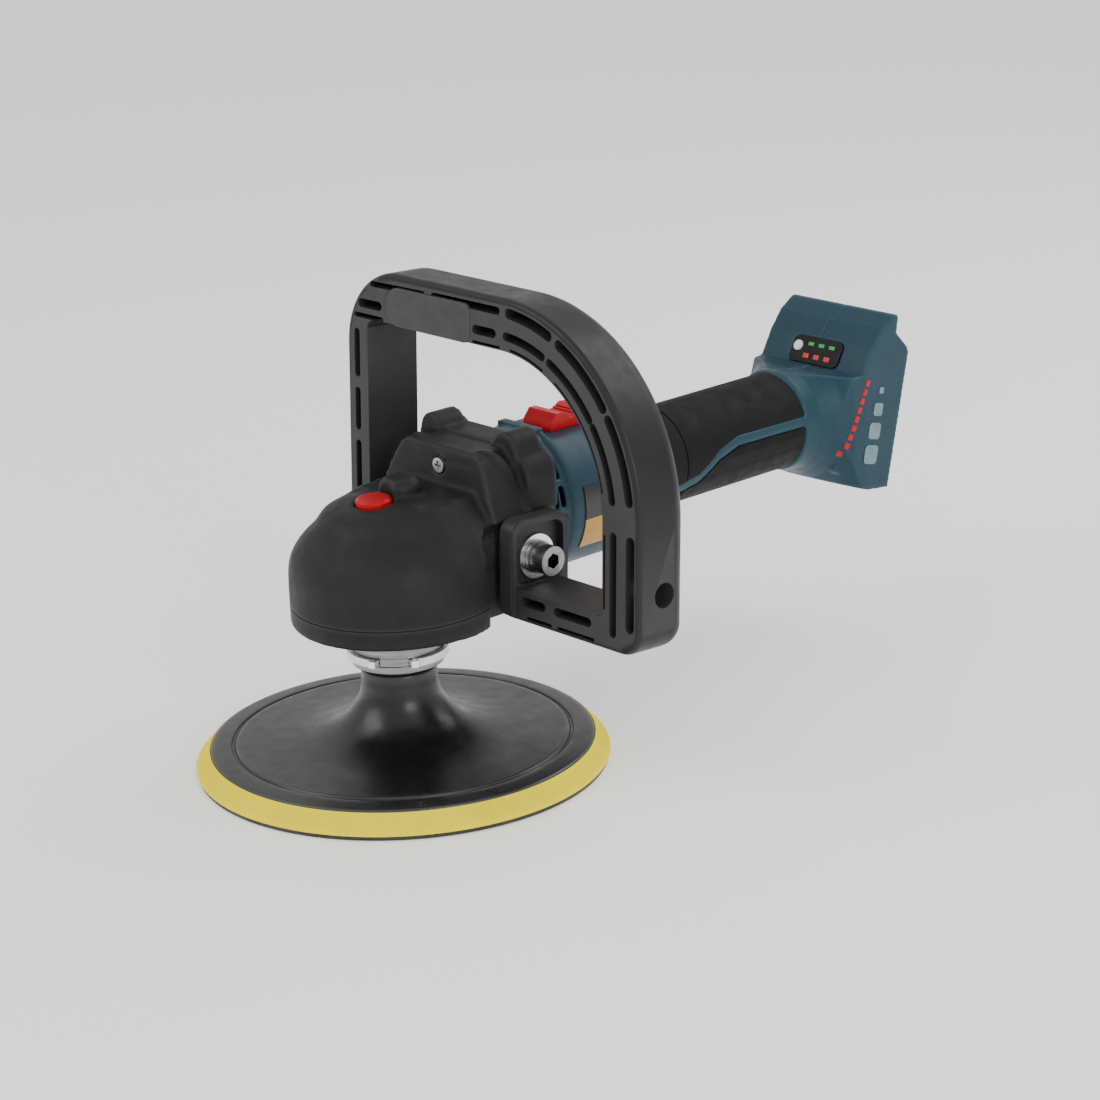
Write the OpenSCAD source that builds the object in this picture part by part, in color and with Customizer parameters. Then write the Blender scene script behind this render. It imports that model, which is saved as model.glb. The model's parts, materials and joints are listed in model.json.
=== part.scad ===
// Cordless rotary polisher with a loop handle and a hook-and-loop pad.
// Origin: centre of the pad's working face. +Z up the spindle, -Y the nose, +X the loop handle's wide side.

/* [Pad] */
// Diameter of the foam pad
pad_d = 180; // [170:1:190]
// Diameter of the plastic backing disc
disc_d = 166.6; // [150:0.2:168]
// Height of the backing disc's rim above the working face
disc_rim_z = 10.6; // [9:0.2:12]
// Height of the pad hub's top face
hub_top_z = 43.5; // [42:0.5:44]
// Diameter of the pad hub's neck
hub_d = 33; // [30:1:36]

/* [Gear head] */
// Outside diameter of the rubber boot's nose
nose_d = 90; // [89:0.5:91]
// Height of the nose's bottom edge
nose_bottom_z = 65; // [64:0.5:66]
// Thickness of the rubber boot
boot_wall = 3.2; // [2.8:0.1:3.4]
// Half width of the boot round the motor flange
flange_half_w = 37.5; // [37:0.1:37.8]
// Diameter of the bearing collar under the gear head
collar_d = 40; // [38:0.5:42]

/* [Motor] */
// Height of the motor axis above the working face
axis_z = 101.1; // [101:0.1:101.4]
// Outside diameter of the motor housing
motor_d = 67.6; // [67:0.2:68]
// Outside diameter of the rear grip over its rubber
grip_d = 46.2; // [45.6:0.2:46.8]
// Teeth on the pinion
pinion_teeth = 9; // [9:1:9]
// Teeth on the crown gear
crown_teeth = 37; // [37:1:37]

/* [Loop handle] */
// Height of the handle bolts' axis
bolt_z = 91; // [90.5:0.1:91.5]
// Distance of the handle bolts' axis behind the spindle
bolt_y = 43.6; // [43:0.1:44]
// Backward lean of the loop handle
handle_lean = 3; // [0:0.5:6]
// Depth of the loop handle, front to rear
handle_depth = 28; // [26:0.5:30]
// Radius of the big bend, outside
bend_r_out = 84.5; // [82:0.5:86]
// Radius of the big bend, inside
bend_r_in = 62.2; // [60:0.5:64]

/* [Battery foot] */
// Width of the battery foot
foot_w = 66; // [64:1:70]
// Lean of the battery rails from vertical
foot_lean = 13.6; // [12:0.2:15]

/* [Hidden] */
$fn = 96;
eps = 0.05;
run = 0.06;          // running clearance on a radius
wall = 2.6;          // plastic shell wall

// spindle and gears
hub_bore_z = 15.5;   // floor of the hub's bore
spindle_r = 6;
thread_r = 7;
bearing_w = 10;
bearing_r = 16;
bearing_z = 66;
pitch_out = 24;      // crown gear's outer pitch radius
face_w = 7.5;        // gear face width along the pitch cone
pinion_pitch = pitch_out * pinion_teeth / crown_teeth;
cone_dist = sqrt(pow(pitch_out, 2) + pow(pinion_pitch, 2));
cone_scale = (cone_dist - face_w) / cone_dist;
tooth_h = 2.4;
web_hole_r = 12.4;

// motor
motor_r = motor_d / 2;
grip_r = grip_d / 2;
tube_r = grip_r - 1.7;
front_y = 63;        // front face of the motor housing
taper_y0 = 118;
taper_y1 = 142;
grip_end_y = 236;
stripe_line = [[130, 88.5], [150, 89.6], [164, 93], [176, 101.4], [189, 105.4], [240, 104.6]];
stator_r = 23.5;
stator_y = 84;
stator_l = 32;
rotor_r = 13;
shaft_r = 4;
fan_y = 64.2;
fan_r = 26.2;
label_y = 81.5;
label_l = 34;

// slide switch
deck_z = 130;        // flat deck that the slide runs on
deck_y0 = 77.6;
deck_y1 = 126;
slide_y = 85;
slide_l = 30;
slide_w = 18;

// gear head
nose_r = nose_d / 2;
flank_y = 18.5;      // rear edge of the nose drum on its flanks
case_r = nose_r - boot_wall - 0.3;
case_half_w = flange_half_w - boot_wall - 0.3;
screw_x = 24;
screw_dz = 30.5;
boss_x = 38;         // faces that the loop handle is clamped to
button_y = -8.5;
button_r = 7.8;
pin_r = 1.8;
well_z = 108.1;      // floor of the lock button's well
clip_angle = -45;    // middle of the collar clip's open side
collar_flange_r = 36;
collar_screw_at = 31;
flange_split_y = 55.5;   // joint between the gear case and the motor housing

// loop handle
bend_c = [36, 28];   // centre of the big bend, from the bolt axis
leg_in = bend_c[0] + bend_r_in;
leg_out = bend_c[0] + bend_r_out;
top_in = bend_c[1] + bend_r_in;
top_out = bend_c[1] + bend_r_out;
far_out = -65.5;
far_in = -51;
far_r = 34;
arm_top = -11.5;
arm_bottom = -25.2;
plate_x = 45.5;
plate_floor = 42;
far_seat = 52;
plate_half = 16.5;
plate_top = 18.2;
foot_round = 11;
bolt_r = 4;
bolt_seats = [[1, plate_floor + 0.1], [-1, far_seat + 0.1]];   // side, washer face from the middle plane
// inset of each row of slots from the loop's outer edge
row_out = 5.8;
row_mid = 15.8;
row_in = 21;
slot_w = 4.6;
thin_slot = 1.2;

// battery foot
foot_half = foot_w / 2;
rail_y = 279.3;      // foot of the rear face
rail_z = 63.8;
bay_half = 27;
lip_half = 23.5;
bay_deep = 8;
bay_h = 56;
panel_y = 265.5;     // middle of the indicator panel
panel_z = 128.2;
panel_tilt = 30;
panel_w = 31;
panel_h = 13;
lamp_step = 6.6;     // spacing of the indicator lamps
shell_screw_places = [[121, 76.5, 18], [152, 87, 12], [222, 87, 12], [254, 78, 26], [254, 107, 26]];

// ---------- helpers ----------

module on_motor_axis(y = 0) {
    translate([0, y, axis_z]) rotate([-90, 0, 0]) children();
}

module ring(r_out, r_in, h) {
    difference() {
        cylinder(r = r_out, h = h);
        translate([0, 0, -eps]) cylinder(r = r_in, h = h + 2 * eps);
    }
}

module rounded_rect(size, r) {
    for (sx = [-1, 1], sy = [-1, 1])
        translate([sx * (size[0] / 2 - r), sy * (size[1] / 2 - r)]) circle(r);
    square([size[0] - 2 * r, size[1]], center = true);
    square([size[0], size[1] - 2 * r], center = true);
}

// side view outline, given as [y, z], made w wide across X
module side_extrude(w) {
    rotate([90, 0, 90]) linear_extrude(w, center = true) children();
}

module plan_extrude(z0, z1) {
    translate([0, 0, z0]) linear_extrude(z1 - z0) children();
}

module sector(r, a0, a1) {
    polygon(concat([[0, 0]], [for (i = [0 : 6]) r * 1.4 * [cos(a0 + (a1 - a0) * i / 6),
        sin(a0 + (a1 - a0) * i / 6)]]));
}

// ---------- pad ----------

module hook_layer() {
    color([0.05, 0.05, 0.05]) cylinder(r = pad_d / 2 - 0.8, h = 1.5);
}

module foam_pad() {
    color([0.98, 0.93, 0.1]) rotate_extrude() polygon([
        [0, 1.5], [pad_d / 2 - 0.6, 1.5], [pad_d / 2, 2.4], [pad_d / 2, 3.2],
        [disc_d / 2 + 0.6, disc_rim_z - 0.6], [disc_d / 2 + 0.1, disc_rim_z - 0.6],
        [disc_d / 2 + 0.1, disc_rim_z - 2], [0, disc_rim_z - 2]]);
}

module backing_disc() {
    hub_r = hub_d / 2;
    color([0.06, 0.06, 0.07]) difference() {
        rotate_extrude() polygon([
            [0, disc_rim_z - 2], [disc_d / 2, disc_rim_z - 2], [disc_d / 2, disc_rim_z],
            [74.6, disc_rim_z + 0.7], [74, disc_rim_z + 0.2], [73, disc_rim_z + 0.2], [72.4, disc_rim_z + 0.9],
            [60, disc_rim_z + 1.5], [48, disc_rim_z + 2.4], [38, disc_rim_z + 4], [30, disc_rim_z + 6.6],
            [24, disc_rim_z + 10.4], [20, disc_rim_z + 15], [hub_r + 1, disc_rim_z + 20],
            [hub_r, disc_rim_z + 25], [hub_r, hub_top_z - 0.8], [hub_r - 0.8, hub_top_z], [0, hub_top_z]]);
        translate([0, 0, hub_bore_z]) cylinder(r = 12, h = 40);
    }
}

module hub_insert() {
    color([0.62, 0.62, 0.64]) translate([0, 0, hub_bore_z]) difference() {
        cylinder(r = 11.9, h = hub_top_z - hub_bore_z);
        translate([0, 0, 3]) cylinder(r = thread_r + run, h = 40);
    }
}

// ---------- spindle ----------

module spindle() {
    color([0.72, 0.72, 0.74]) difference() {
        union() {
            translate([0, 0, 20]) cylinder(r = thread_r, h = 24);
            translate([0, 0, hub_top_z]) cylinder(r = 11, h = 4.5);
            translate([0, 0, 47]) cylinder(r = 8, h = bearing_z - 47);
            translate([0, 0, bearing_z - 1]) cylinder(r = spindle_r, h = 107.8 - bearing_z);
        }
        // grooves that hold the circlip and relieve the thread
        translate([0, 0, 98.6]) ring(spindle_r + 1, spindle_r - 0.5, 1.1);
        translate([0, 0, 41.6]) ring(thread_r + 1, thread_r - 0.9, 1.9);
        translate([0, 0, 19]) cylinder(r = 2, h = 6);
    }
}

function ring_angle(i) = i * 360 / crown_teeth;

module crown_gear() {
    half = 360 / crown_teeth * 0.19;
    r_in = pitch_out * cone_scale;
    slope = pinion_pitch / pitch_out;
    color([0.5, 0.5, 0.52]) difference() {
        union() {
            rotate_extrude() polygon([
                [0, 77], [9.6, 77], [9.6, 86], [pitch_out + 2, 89.5],
                [pitch_out + 2, axis_z - slope * (pitch_out + 2) - 1.5],
                [r_in - 1.5, axis_z - slope * (r_in - 1.5) - 1.3], [r_in - 2.2, 93.5],
                [9.6, 93.5], [9.6, 98.5], [0, 98.5]]);
            intersection() {
                plan_extrude(86, axis_z) for (i = [0 : crown_teeth - 1])
                    rotate(ring_angle(i)) sector(pitch_out + 4, 90 - half, 90 + half);
                rotate_extrude() polygon([
                    [r_in - 0.4, 88], [pitch_out + 1.2, 88.4],
                    [pitch_out + 1.2, axis_z - slope * (pitch_out + 1.2) + 0.9],
                    [r_in - 0.4, axis_z - slope * (r_in - 0.4) + 0.6]]);
            }
        }
        translate([0, 0, 70]) cylinder(r = spindle_r + 0.02, h = 40);
        for (i = [0 : 11]) rotate(i * 30) translate([0, -web_hole_r, 80]) cylinder(r = 2.2, h = 20, $fn = 32);
    }
}

module gear_circlip() {
    color([0.3, 0.3, 0.32]) translate([0, 0, 98.65]) difference() {
        ring(spindle_r + 2.6, spindle_r - 0.4, 1);
        translate([-1.5, 0, -1]) cube([3, 12, 3]);
    }
}

module bearing_inner_race() {
    color([0.75, 0.75, 0.77]) translate([0, 0, bearing_z]) difference() {
        ring(9.4, spindle_r + 0.01, bearing_w);
        translate([0, 0, bearing_w / 2]) rotate_extrude() translate([11, 0]) circle(3.02);
    }
}

module bearing_outer_race() {
    color([0.75, 0.75, 0.77]) translate([0, 0, bearing_z]) difference() {
        ring(bearing_r, 12.6, bearing_w);
        translate([0, 0, bearing_w / 2]) rotate_extrude() translate([11, 0]) circle(3.02);
    }
}

module bearing_balls() {
    color([0.85, 0.85, 0.86]) for (i = [0 : 7]) rotate(i * 45)
        translate([11, 0, bearing_z + bearing_w / 2]) sphere(2.9, $fn = 32);
}

module top_bearing() {
    color([0.7, 0.7, 0.72]) translate([0, 0, 101.6]) ring(9, spindle_r + run, 5);
}

module bearing_collar() {
    color([0.78, 0.78, 0.79]) difference() {
        union() {
            translate([0, 0, 62]) cylinder(r = collar_flange_r, h = bearing_z - 62);
            translate([0, 0, 46]) cylinder(r = collar_d / 2, h = 16.5);
        }
        translate([0, 0, 45]) cylinder(r = 11.4, h = 3.6);
        translate([0, 0, 45]) cylinder(r = 8.2, h = 25);
        translate([0, 0, 57]) cylinder(r = 13, h = 12);
        translate([0, 0, 49.2]) ring(collar_d / 2 + 2, collar_d / 2 - 0.7, 3.6);
        for (a = [45 : 90 : 315]) rotate(a) translate([collar_screw_at, 0, 61]) {
            cylinder(r = 2.1, h = 6, $fn = 32);
            cylinder(r = 3.7, h = 3.4, $fn = 48);
        }
    }
}

module collar_clip() {
    gap = 22;        // half angle of the clip's open front
    color([0.86, 0.86, 0.86]) union() {
        difference() {
            translate([0, 0, 49.3]) ring(collar_d / 2 + 2.2, collar_d / 2 - 0.6, 3.4);
            plan_extrude(48, 54) sector(60, clip_angle - gap, clip_angle + gap);
        }
        // turned-out ends
        for (s = [-1, 1]) rotate(clip_angle + s * (gap + 1.5))
            translate([collar_d / 2 - 0.2, -1.6, 49.5]) cube([3.6, 3.2, 3]);
    }
}

module collar_screws() {
    color([0.55, 0.55, 0.57]) for (a = [45 : 90 : 315]) rotate(a)
        translate([collar_screw_at, 0, 62.2]) difference() {
        union() {
            cylinder(r = 3.6, h = 2.2, $fn = 48);
            cylinder(r = 2, h = 10, $fn = 32);
        }
        translate([0, 0, -eps]) cylinder(r = 1.6, h = 1.4, $fn = 6);
    }
}

// ---------- gear case and boot ----------

// nose of the boot, turned about the spindle
module nose_outline() {
    polygon([
        [0, nose_bottom_z], [nose_r - 1.5, nose_bottom_z], [nose_r, nose_bottom_z + 1.5], [nose_r, 90],
        [nose_r - 0.8, 94], [nose_r - 3, 98.6], [nose_r - 6.4, 103], [nose_r - 10, 106.3], [33, 107.8],
        [31.5, 109.5], [30.4, 112.6], [28, 115], [22, 117], [14, 118.6], [0, 119.6]]);
}

module case_nose_outline() {
    polygon([
        [0, bearing_z], [case_r, bearing_z], [case_r, 89], [case_r - 3.4, 97], [case_r - 9, 102.6], [30.6, 105],
        [27, 111], [14, 115], [0, 116]]);
}

// outline round the motor flange, seen along Y
module flange_outline(half_w) {
    translate([0, axis_z - 2]) rounded_rect([2 * half_w, 2 * half_w - 2], 15);
}

module at_flange_screws(y) {
    for (sx = [-1, 1], sz = [-1, 1])
        translate([sx * screw_x, y, axis_z + sz * screw_dz]) rotate([-90, 0, 0]) children();
}

// flange of the gear case and of the motor housing, with an ear round each screw
module inner_flange(gap) {
    flange_outline(case_half_w + gap);
    translate([0, axis_z]) circle(motor_r - 1.2 + gap);
    for (sx = [-1, 1], sz = [-1, 1]) translate([sx * screw_x, axis_z + sz * screw_dz]) circle(6 + gap);
}

// rubber lug over each flange screw, standing a little further out than the screw
module lug_outlines() {
    for (sx = [-1, 1], sz = [-1, 1]) translate([sx * screw_x, axis_z + sz * screw_dz]) {
        circle(8);
        translate([0, sz * 3.2]) circle(7);
    }
}

// block between the nose and the flange: its top stands up behind the lock button
module block_outline(inset) {
    w = screw_x - inset + 4;
    top = 134.8 - inset;
    polygon([
        [-flange_half_w + inset, 68 + inset], [flange_half_w - inset, 68 + inset],
        [flange_half_w - inset, 108 - inset], [w + 4, 122 - inset], [w - 1, top - 3], [w - 5, top],
        [-w + 5, top], [-w + 1, top - 3], [-w - 4, 122 - inset], [-flange_half_w + inset, 108 - inset]]);
}

module extrude_y(y0, y1) {
    translate([0, y1, 0]) rotate([90, 0, 0]) linear_extrude(y1 - y0) children();
}

module boot_solid() {
    rotate_extrude() nose_outline();
    intersection() {
        extrude_y(0, 46) polygon([
            [-nose_r, nose_bottom_z], [nose_r, nose_bottom_z], [nose_r, 90], [38.6, 103], [33, 110],
            [25, 119], [-25, 119], [-33, 110], [-38.6, 103], [-nose_r, 90]]);
        union() {
            plan_extrude(60, 125) intersection() {
                circle(nose_r);
                translate([-50, 0]) square([100, flank_y]);
            }
            plan_extrude(60, 125) translate([-flange_half_w, 0]) square([2 * flange_half_w, 46]);
        }
    }
    // raised block with its near-upright front
    intersection() {
        extrude_y(20, 50) block_outline(0);
        side_extrude(100) polygon([[26, 60], [26, 117], [29.6, 134.8], [50, 134.8], [50, 60]]);
    }
    extrude_y(46, front_y - 0.2) flange_outline(flange_half_w);
    extrude_y(44.5, 59.5) lug_outlines();
    // hood behind the lock button
    translate([0, 6, 108]) cylinder(r = 9, h = 15.5);
    translate([0, 6, 123.5]) cylinder(r1 = 9, r2 = 6.5, h = 3);
}

module case_solid() {
    rotate_extrude() case_nose_outline();
    extrude_y(0, 46) polygon([
        [-case_half_w, bearing_z], [case_half_w, bearing_z], [case_half_w, 100], [30, 106], [22, 114],
        [-22, 114], [-30, 106], [-case_half_w, 100]]);
    extrude_y(29.8, 50) block_outline(3.6);
    extrude_y(49.5, flange_split_y) inner_flange(0);
    intersection() {
        for (s = [-1, 1]) at_bolt(s) cylinder(r = 14.5, h = boss_x);
        translate([-50, 0, 50]) cube([100, flange_split_y, 100]);
    }
}

module handle_cutout() {
    for (s = [-1, 1]) translate([s * 50, 0, 0]) side_extrude(2 * (50 - case_half_w) + 0.1) {
        translate([flank_y, 50]) square([60, 46]);
        translate([flank_y + 8, 90]) square([60, 17.5]);
        translate([flank_y + 8, 98.5]) circle(9);
    }
}

module rubber_boot() {
    color([0.2, 0.2, 0.21]) difference() {
        boot_solid();
        // room for the gear case, a loose fit all round
        rotate_extrude() polygon([
            [0, 60], [case_r + 0.3, 60], [case_r + 0.3, 89.2], [case_r - 3.1, 97.3],
            [case_r - 8.8, 103], [30.9, 105.4], [27.2, 111.4], [14, 115.4], [0, 116.4]]);
        extrude_y(-1, 46.5) polygon([
            [-case_half_w - 0.3, 60], [case_half_w + 0.3, 60], [case_half_w + 0.3, 100.1],
            [30.2, 106.3], [22.1, 114.3], [-22.1, 114.3], [-30.2, 106.3], [-case_half_w - 0.3, 100.1]]);
        extrude_y(29.5, 50.5) block_outline(3.3);
        extrude_y(49.3, front_y) inner_flange(0.3);
        at_flange_screws(46) cylinder(r = 4.2, h = 10);
        handle_cutout();
        // openings: lock button, recessed screw, flange screws from the front, moulded line low on the nose
        translate([0, button_y, 100]) cylinder(r = button_r + 0.4, h = 30);
        translate([0, 20, 126.5]) rotate([-90, 0, 0]) cylinder(r = 3.8, h = 14);
        translate([0, 0, 73.9]) ring(nose_r + 2, nose_r - 0.35, 0.6);
    }
}

module gear_case() {
    color([0.42, 0.43, 0.45]) difference() {
        case_solid();
        // oil room round the gears
        translate([0, 0, 77]) cylinder(r = 35, h = 22);
        translate([0, 0, 98.9]) cylinder(r = 14.5, h = 2.3);
        // seats: spindle bearing from below, top bearing from inside
        translate([0, 0, bearing_z]) cylinder(r = bearing_r + 0.02, h = 12);
        translate([0, 0, 98]) cylinder(r = 9.02, h = 8.62);
        translate([0, 0, 100]) cylinder(r = spindle_r + 0.8, h = 7.1);
        // front bearing seat and the shaft's way in
        on_motor_axis(10) cylinder(r = 8.5, h = 55);
        on_motor_axis(34) cylinder(r = 11.02, h = 30);
        on_motor_axis(43) cylinder(r = 25, h = 20);
        // lock pin and button well
        translate([0, -web_hole_r, 90]) cylinder(r = pin_r + run, h = 30);
        translate([0, button_y, well_z]) cylinder(r = button_r + 0.4, h = 20);
        // threads
        for (s = [-1, 1]) at_bolt(s) translate([0, 0, 26]) cylinder(r = bolt_r + 0.02, h = 20);
        for (a = [45 : 90 : 315]) rotate(a)
            translate([collar_screw_at, 0, 63]) cylinder(r = 2.02, h = 9.4, $fn = 32);
        at_flange_screws(40) cylinder(r = 2.3, h = 30, $fn = 32);
        at_flange_screws(43) cylinder(r = 4.2, h = 6.52);
        translate([0, 20, 126.5]) rotate([-90, 0, 0]) cylinder(r = 2.02, h = 22, $fn = 32);
    }
}

module boot_screw() {
    color([0.55, 0.55, 0.56]) translate([0, 27.4, 126.5]) rotate([-90, 0, 0]) difference() {
        union() {
            cylinder(r = 3.4, h = 2.2, $fn = 48);
            cylinder(r = 2, h = 13, $fn = 32);
        }
        for (a = [0, 90]) rotate(a) translate([-2, -0.5, -eps]) cube([4, 1, 1.2]);
    }
}

module flange_screws() {
    color([0.5, 0.5, 0.52]) at_flange_screws(46.2) difference() {
        union() {
            cylinder(r = 3.7, h = 3.3, $fn = 48);
            cylinder(r = 2.2, h = 15.8, $fn = 32);
        }
        for (a = [0, 90]) rotate(a) translate([-2, -0.5, -eps]) cube([4, 1, 1.3]);
    }
}

// ---------- spindle lock ----------

module lock_button() {
    color([0.8, 0.02, 0.08]) translate([0, button_y, 0]) difference() {
        union() {
            translate([0, 0, 112.2]) cylinder(r = button_r, h = 7.6);
            translate([0, 0, 119.8]) cylinder(r1 = button_r, r2 = button_r - 1.2, h = 1.2);
        }
        translate([0, -web_hole_r - button_y, 0]) {
            translate([0, 0, 111]) cylinder(r = pin_r + 0.02, h = 6);
            translate([0, 0, 111]) cylinder(r = 3.8, h = 4);
        }
    }
}

module lock_pin() {
    color([0.7, 0.7, 0.72]) translate([0, -web_hole_r, 94.5]) cylinder(r = pin_r, h = 22.4);
}

module lock_spring() {
    turns = 5;
    step = 1.45;
    color([0.6, 0.6, 0.62]) translate([0, -web_hole_r, well_z + 0.1]) {
        for (i = [0 : turns - 1])
            translate([0, 0, i * step]) ring(3.4, 2.5, 0.8);
        for (i = [0 : turns - 2])
            rotate(i * 120) translate([2.6, -0.35, i * step + 0.4]) cube([0.7, 0.7, step]);
    }
}

// ---------- motor ----------

module rotor_shaft() {
    color([0.72, 0.72, 0.74]) union() {
        on_motor_axis(15.6) cylinder(r = 2.4, h = 10);
        on_motor_axis(25.5) cylinder(r = shaft_r, h = 109);
    }
}

module rotor_core() {
    color([0.35, 0.35, 0.37]) on_motor_axis(stator_y - 1) ring(rotor_r - 1.6, shaft_r + 0.01, stator_l + 2);
}

module rotor_magnets() {
    color([0.25, 0.25, 0.27]) on_motor_axis(stator_y) difference() {
        ring(rotor_r, rotor_r - 1.58, stator_l);
        for (a = [0 : 90 : 270]) rotate(a) translate([-0.6, 0, -1]) cube([1.2, 20, stator_l + 2]);
    }
}

module cooling_fan() {
    blades = 17;
    color([0.12, 0.12, 0.13]) on_motor_axis(fan_y) difference() {
        union() {
            cylinder(r = 9, h = 12);
            translate([0, 0, 10]) cylinder(r = fan_r, h = 2);
            for (i = [0 : blades - 1])
                rotate(i * 360 / blades) translate([14, -0.6, 1]) rotate(18) cube([11.6, 1.2, 9.5]);
        }
        translate([0, 0, -1]) cylinder(r = shaft_r + 0.01, h = 16);
    }
}

module pinion_section() {
    root = pinion_pitch - 1.6;
    tip = pinion_pitch + 1.05;
    pitch_a = 360 / pinion_teeth;
    tooth = [[-0.34, root], [-0.27, root], [-0.1, tip], [0.1, tip], [0.27, root], [0.34, root]];
    polygon([for (i = [0 : pinion_teeth - 1]) for (p = tooth)
        p[1] * [sin((i + p[0]) * pitch_a), cos((i + p[0]) * pitch_a)]]);
}

module pinion() {
    len = face_w * cos(atan(pinion_teeth / crown_teeth));
    color([0.55, 0.55, 0.57]) difference() {
        union() {
            translate([0, pitch_out, axis_z]) rotate([90, 0, 0]) linear_extrude(len, scale = cone_scale)
                rotate(180 + 180 / pinion_teeth) pinion_section();
            on_motor_axis(pitch_out - eps) cylinder(r = 4.2, h = 1.5);
        }
        on_motor_axis(10) cylinder(r = 2.42, h = 30);
    }
}

module front_bearing() {
    color([0.75, 0.75, 0.77]) on_motor_axis(34) ring(11, shaft_r + run, 8);
}

module rear_bearing() {
    color([0.75, 0.75, 0.77]) on_motor_axis(126) ring(9.5, shaft_r + run, 7);
}

module stator_core() {
    teeth = 6;
    color([0.45, 0.45, 0.47]) on_motor_axis(stator_y) difference() {
        union() {
            ring(stator_r, stator_r - 3, stator_l);
            for (i = [0 : teeth - 1]) rotate(i * 60) translate([rotor_r + 1.2, -2, 0]) cube([8, 4, stator_l]);
        }
        translate([0, 0, -1]) cylinder(r = rotor_r + 0.6, h = stator_l + 2);
    }
}

module stator_coils() {
    color([0.72, 0.4, 0.15]) on_motor_axis(stator_y) for (i = [0 : 5]) rotate(i * 60)
        translate([rotor_r + 1.8, 0, 0]) difference() {
            translate([0, -3.9, -2.2]) cube([5, 7.8, stator_l + 4.4]);
            translate([-1, -2.05, -0.05]) cube([8, 4.1, stator_l + 0.1]);
        }
}

module sensor_board() {
    color([0.1, 0.35, 0.2]) on_motor_axis(stator_y + stator_l + 3.5) ring(20.5, 11.5, 1.6);
}

// ---------- housing ----------

module housing_profile() {
    polygon([
        [0, flange_split_y + 0.1], [motor_r - 1.2, flange_split_y + 0.1],
            [motor_r - 1.2, 74], [motor_r - 0.2, 75.5], [motor_r, 78],
        [motor_r, taper_y0], [tube_r + 5, taper_y1 - 8],
            [tube_r + 2.6, taper_y1 - 1], [tube_r + 1.7, taper_y1 + 3],
        [tube_r, taper_y1 + 3], [tube_r, grip_end_y - 3], [grip_r + 0.6, grip_end_y - 3],
        [grip_r + 1.3, grip_end_y - 1], [grip_r + 1.3, grip_end_y + 1.5], [grip_r + 0.6, grip_end_y + 4],
        [grip_r - 1.6, 254], [grip_r - 3, 262], [0, 262]]);
}

module cavity_profile() {
    polygon([
        [0, flange_split_y - 1], [motor_r - wall - 1.2, flange_split_y - 1],
            [motor_r - wall - 0.2, 78], [motor_r - wall, 84],
        [motor_r - wall, taper_y0 - 1], [tube_r + 2.6, taper_y1 - 8], [tube_r - wall, taper_y1],
        [tube_r - wall, 262], [0, 262]]);
}

module foot_side() {
    polygon([
        [grip_end_y, 76.6], [245, 72.4], [256, 68.4], [266, 65.4], [rail_y, rail_z],
        [294.7, 127.4], [294, 130], [286.2, 138.6], [287.6, 146], [286.4, 147.6], [284, 147.4],
        [276, 142.4], [268.6, 133.4], [262.3, 122.5], [256, 122.2], [248, 123.4], [grip_end_y, 124.6]]);
}

module foot_room_side() {
    polygon([
        [239, 80.4], [247, 75.6], [258, 71.2], [268, 67.9], [269.6, 67.7],
        [284, 126.5], [283, 130], [278, 137], [271, 131], [264.8, 120.4], [262, 119], [239, 120]]);
}

// half widths of the foot along Y
module foot_plan(inset) {
    steps = [[grip_end_y, 24.6], [243, 27.6], [250, 30.6], [257, 32.5], [264, foot_half], [302, foot_half]];
    polygon(concat([for (p = steps) [p[1] - inset, p[0]]],
        [for (i = [len(steps) - 1 : -1 : 0]) [inset - steps[i][1], steps[i][0]]]));
}

// cone that rounds the foot's flare into the grip
module flare_profile(inset) {
    polygon([
        [0, grip_end_y], [24.4 - inset, grip_end_y], [25.6 - inset, 241],
            [28.2 - inset, 246], [32 - inset, 251],
        [38 - inset, 256], [48 - inset, 262], [62 - inset, 268], [62 - inset, 310], [0, 310]]);
}

module in_foot_frame() {
    translate([0, rail_y, rail_z]) rotate([-foot_lean, 0, 0]) children();
}

module in_panel_frame() {
    translate([0, panel_y, panel_z]) rotate([90 - panel_tilt, 0, 0]) children();
}

module grip_stripe(w) {
    pts = stripe_line;
    polygon(concat([for (p = pts) p + [0, w / 2]], [for (i = [len(pts) - 1 : -1 : 0]) pts[i] - [0, w / 2]]));
}

module vent_cuts() {
    for (row = [[65.6, 1.8], [69.4, 2.4]], a = [-42, -20, 2, 24, 158, 180, 202, 224])
        on_motor_axis(row[0]) rotate(a - 2) difference() {
            rotate_extrude(angle = 17) translate([20, 0]) square([20, row[1]]);
        }
}

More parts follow.
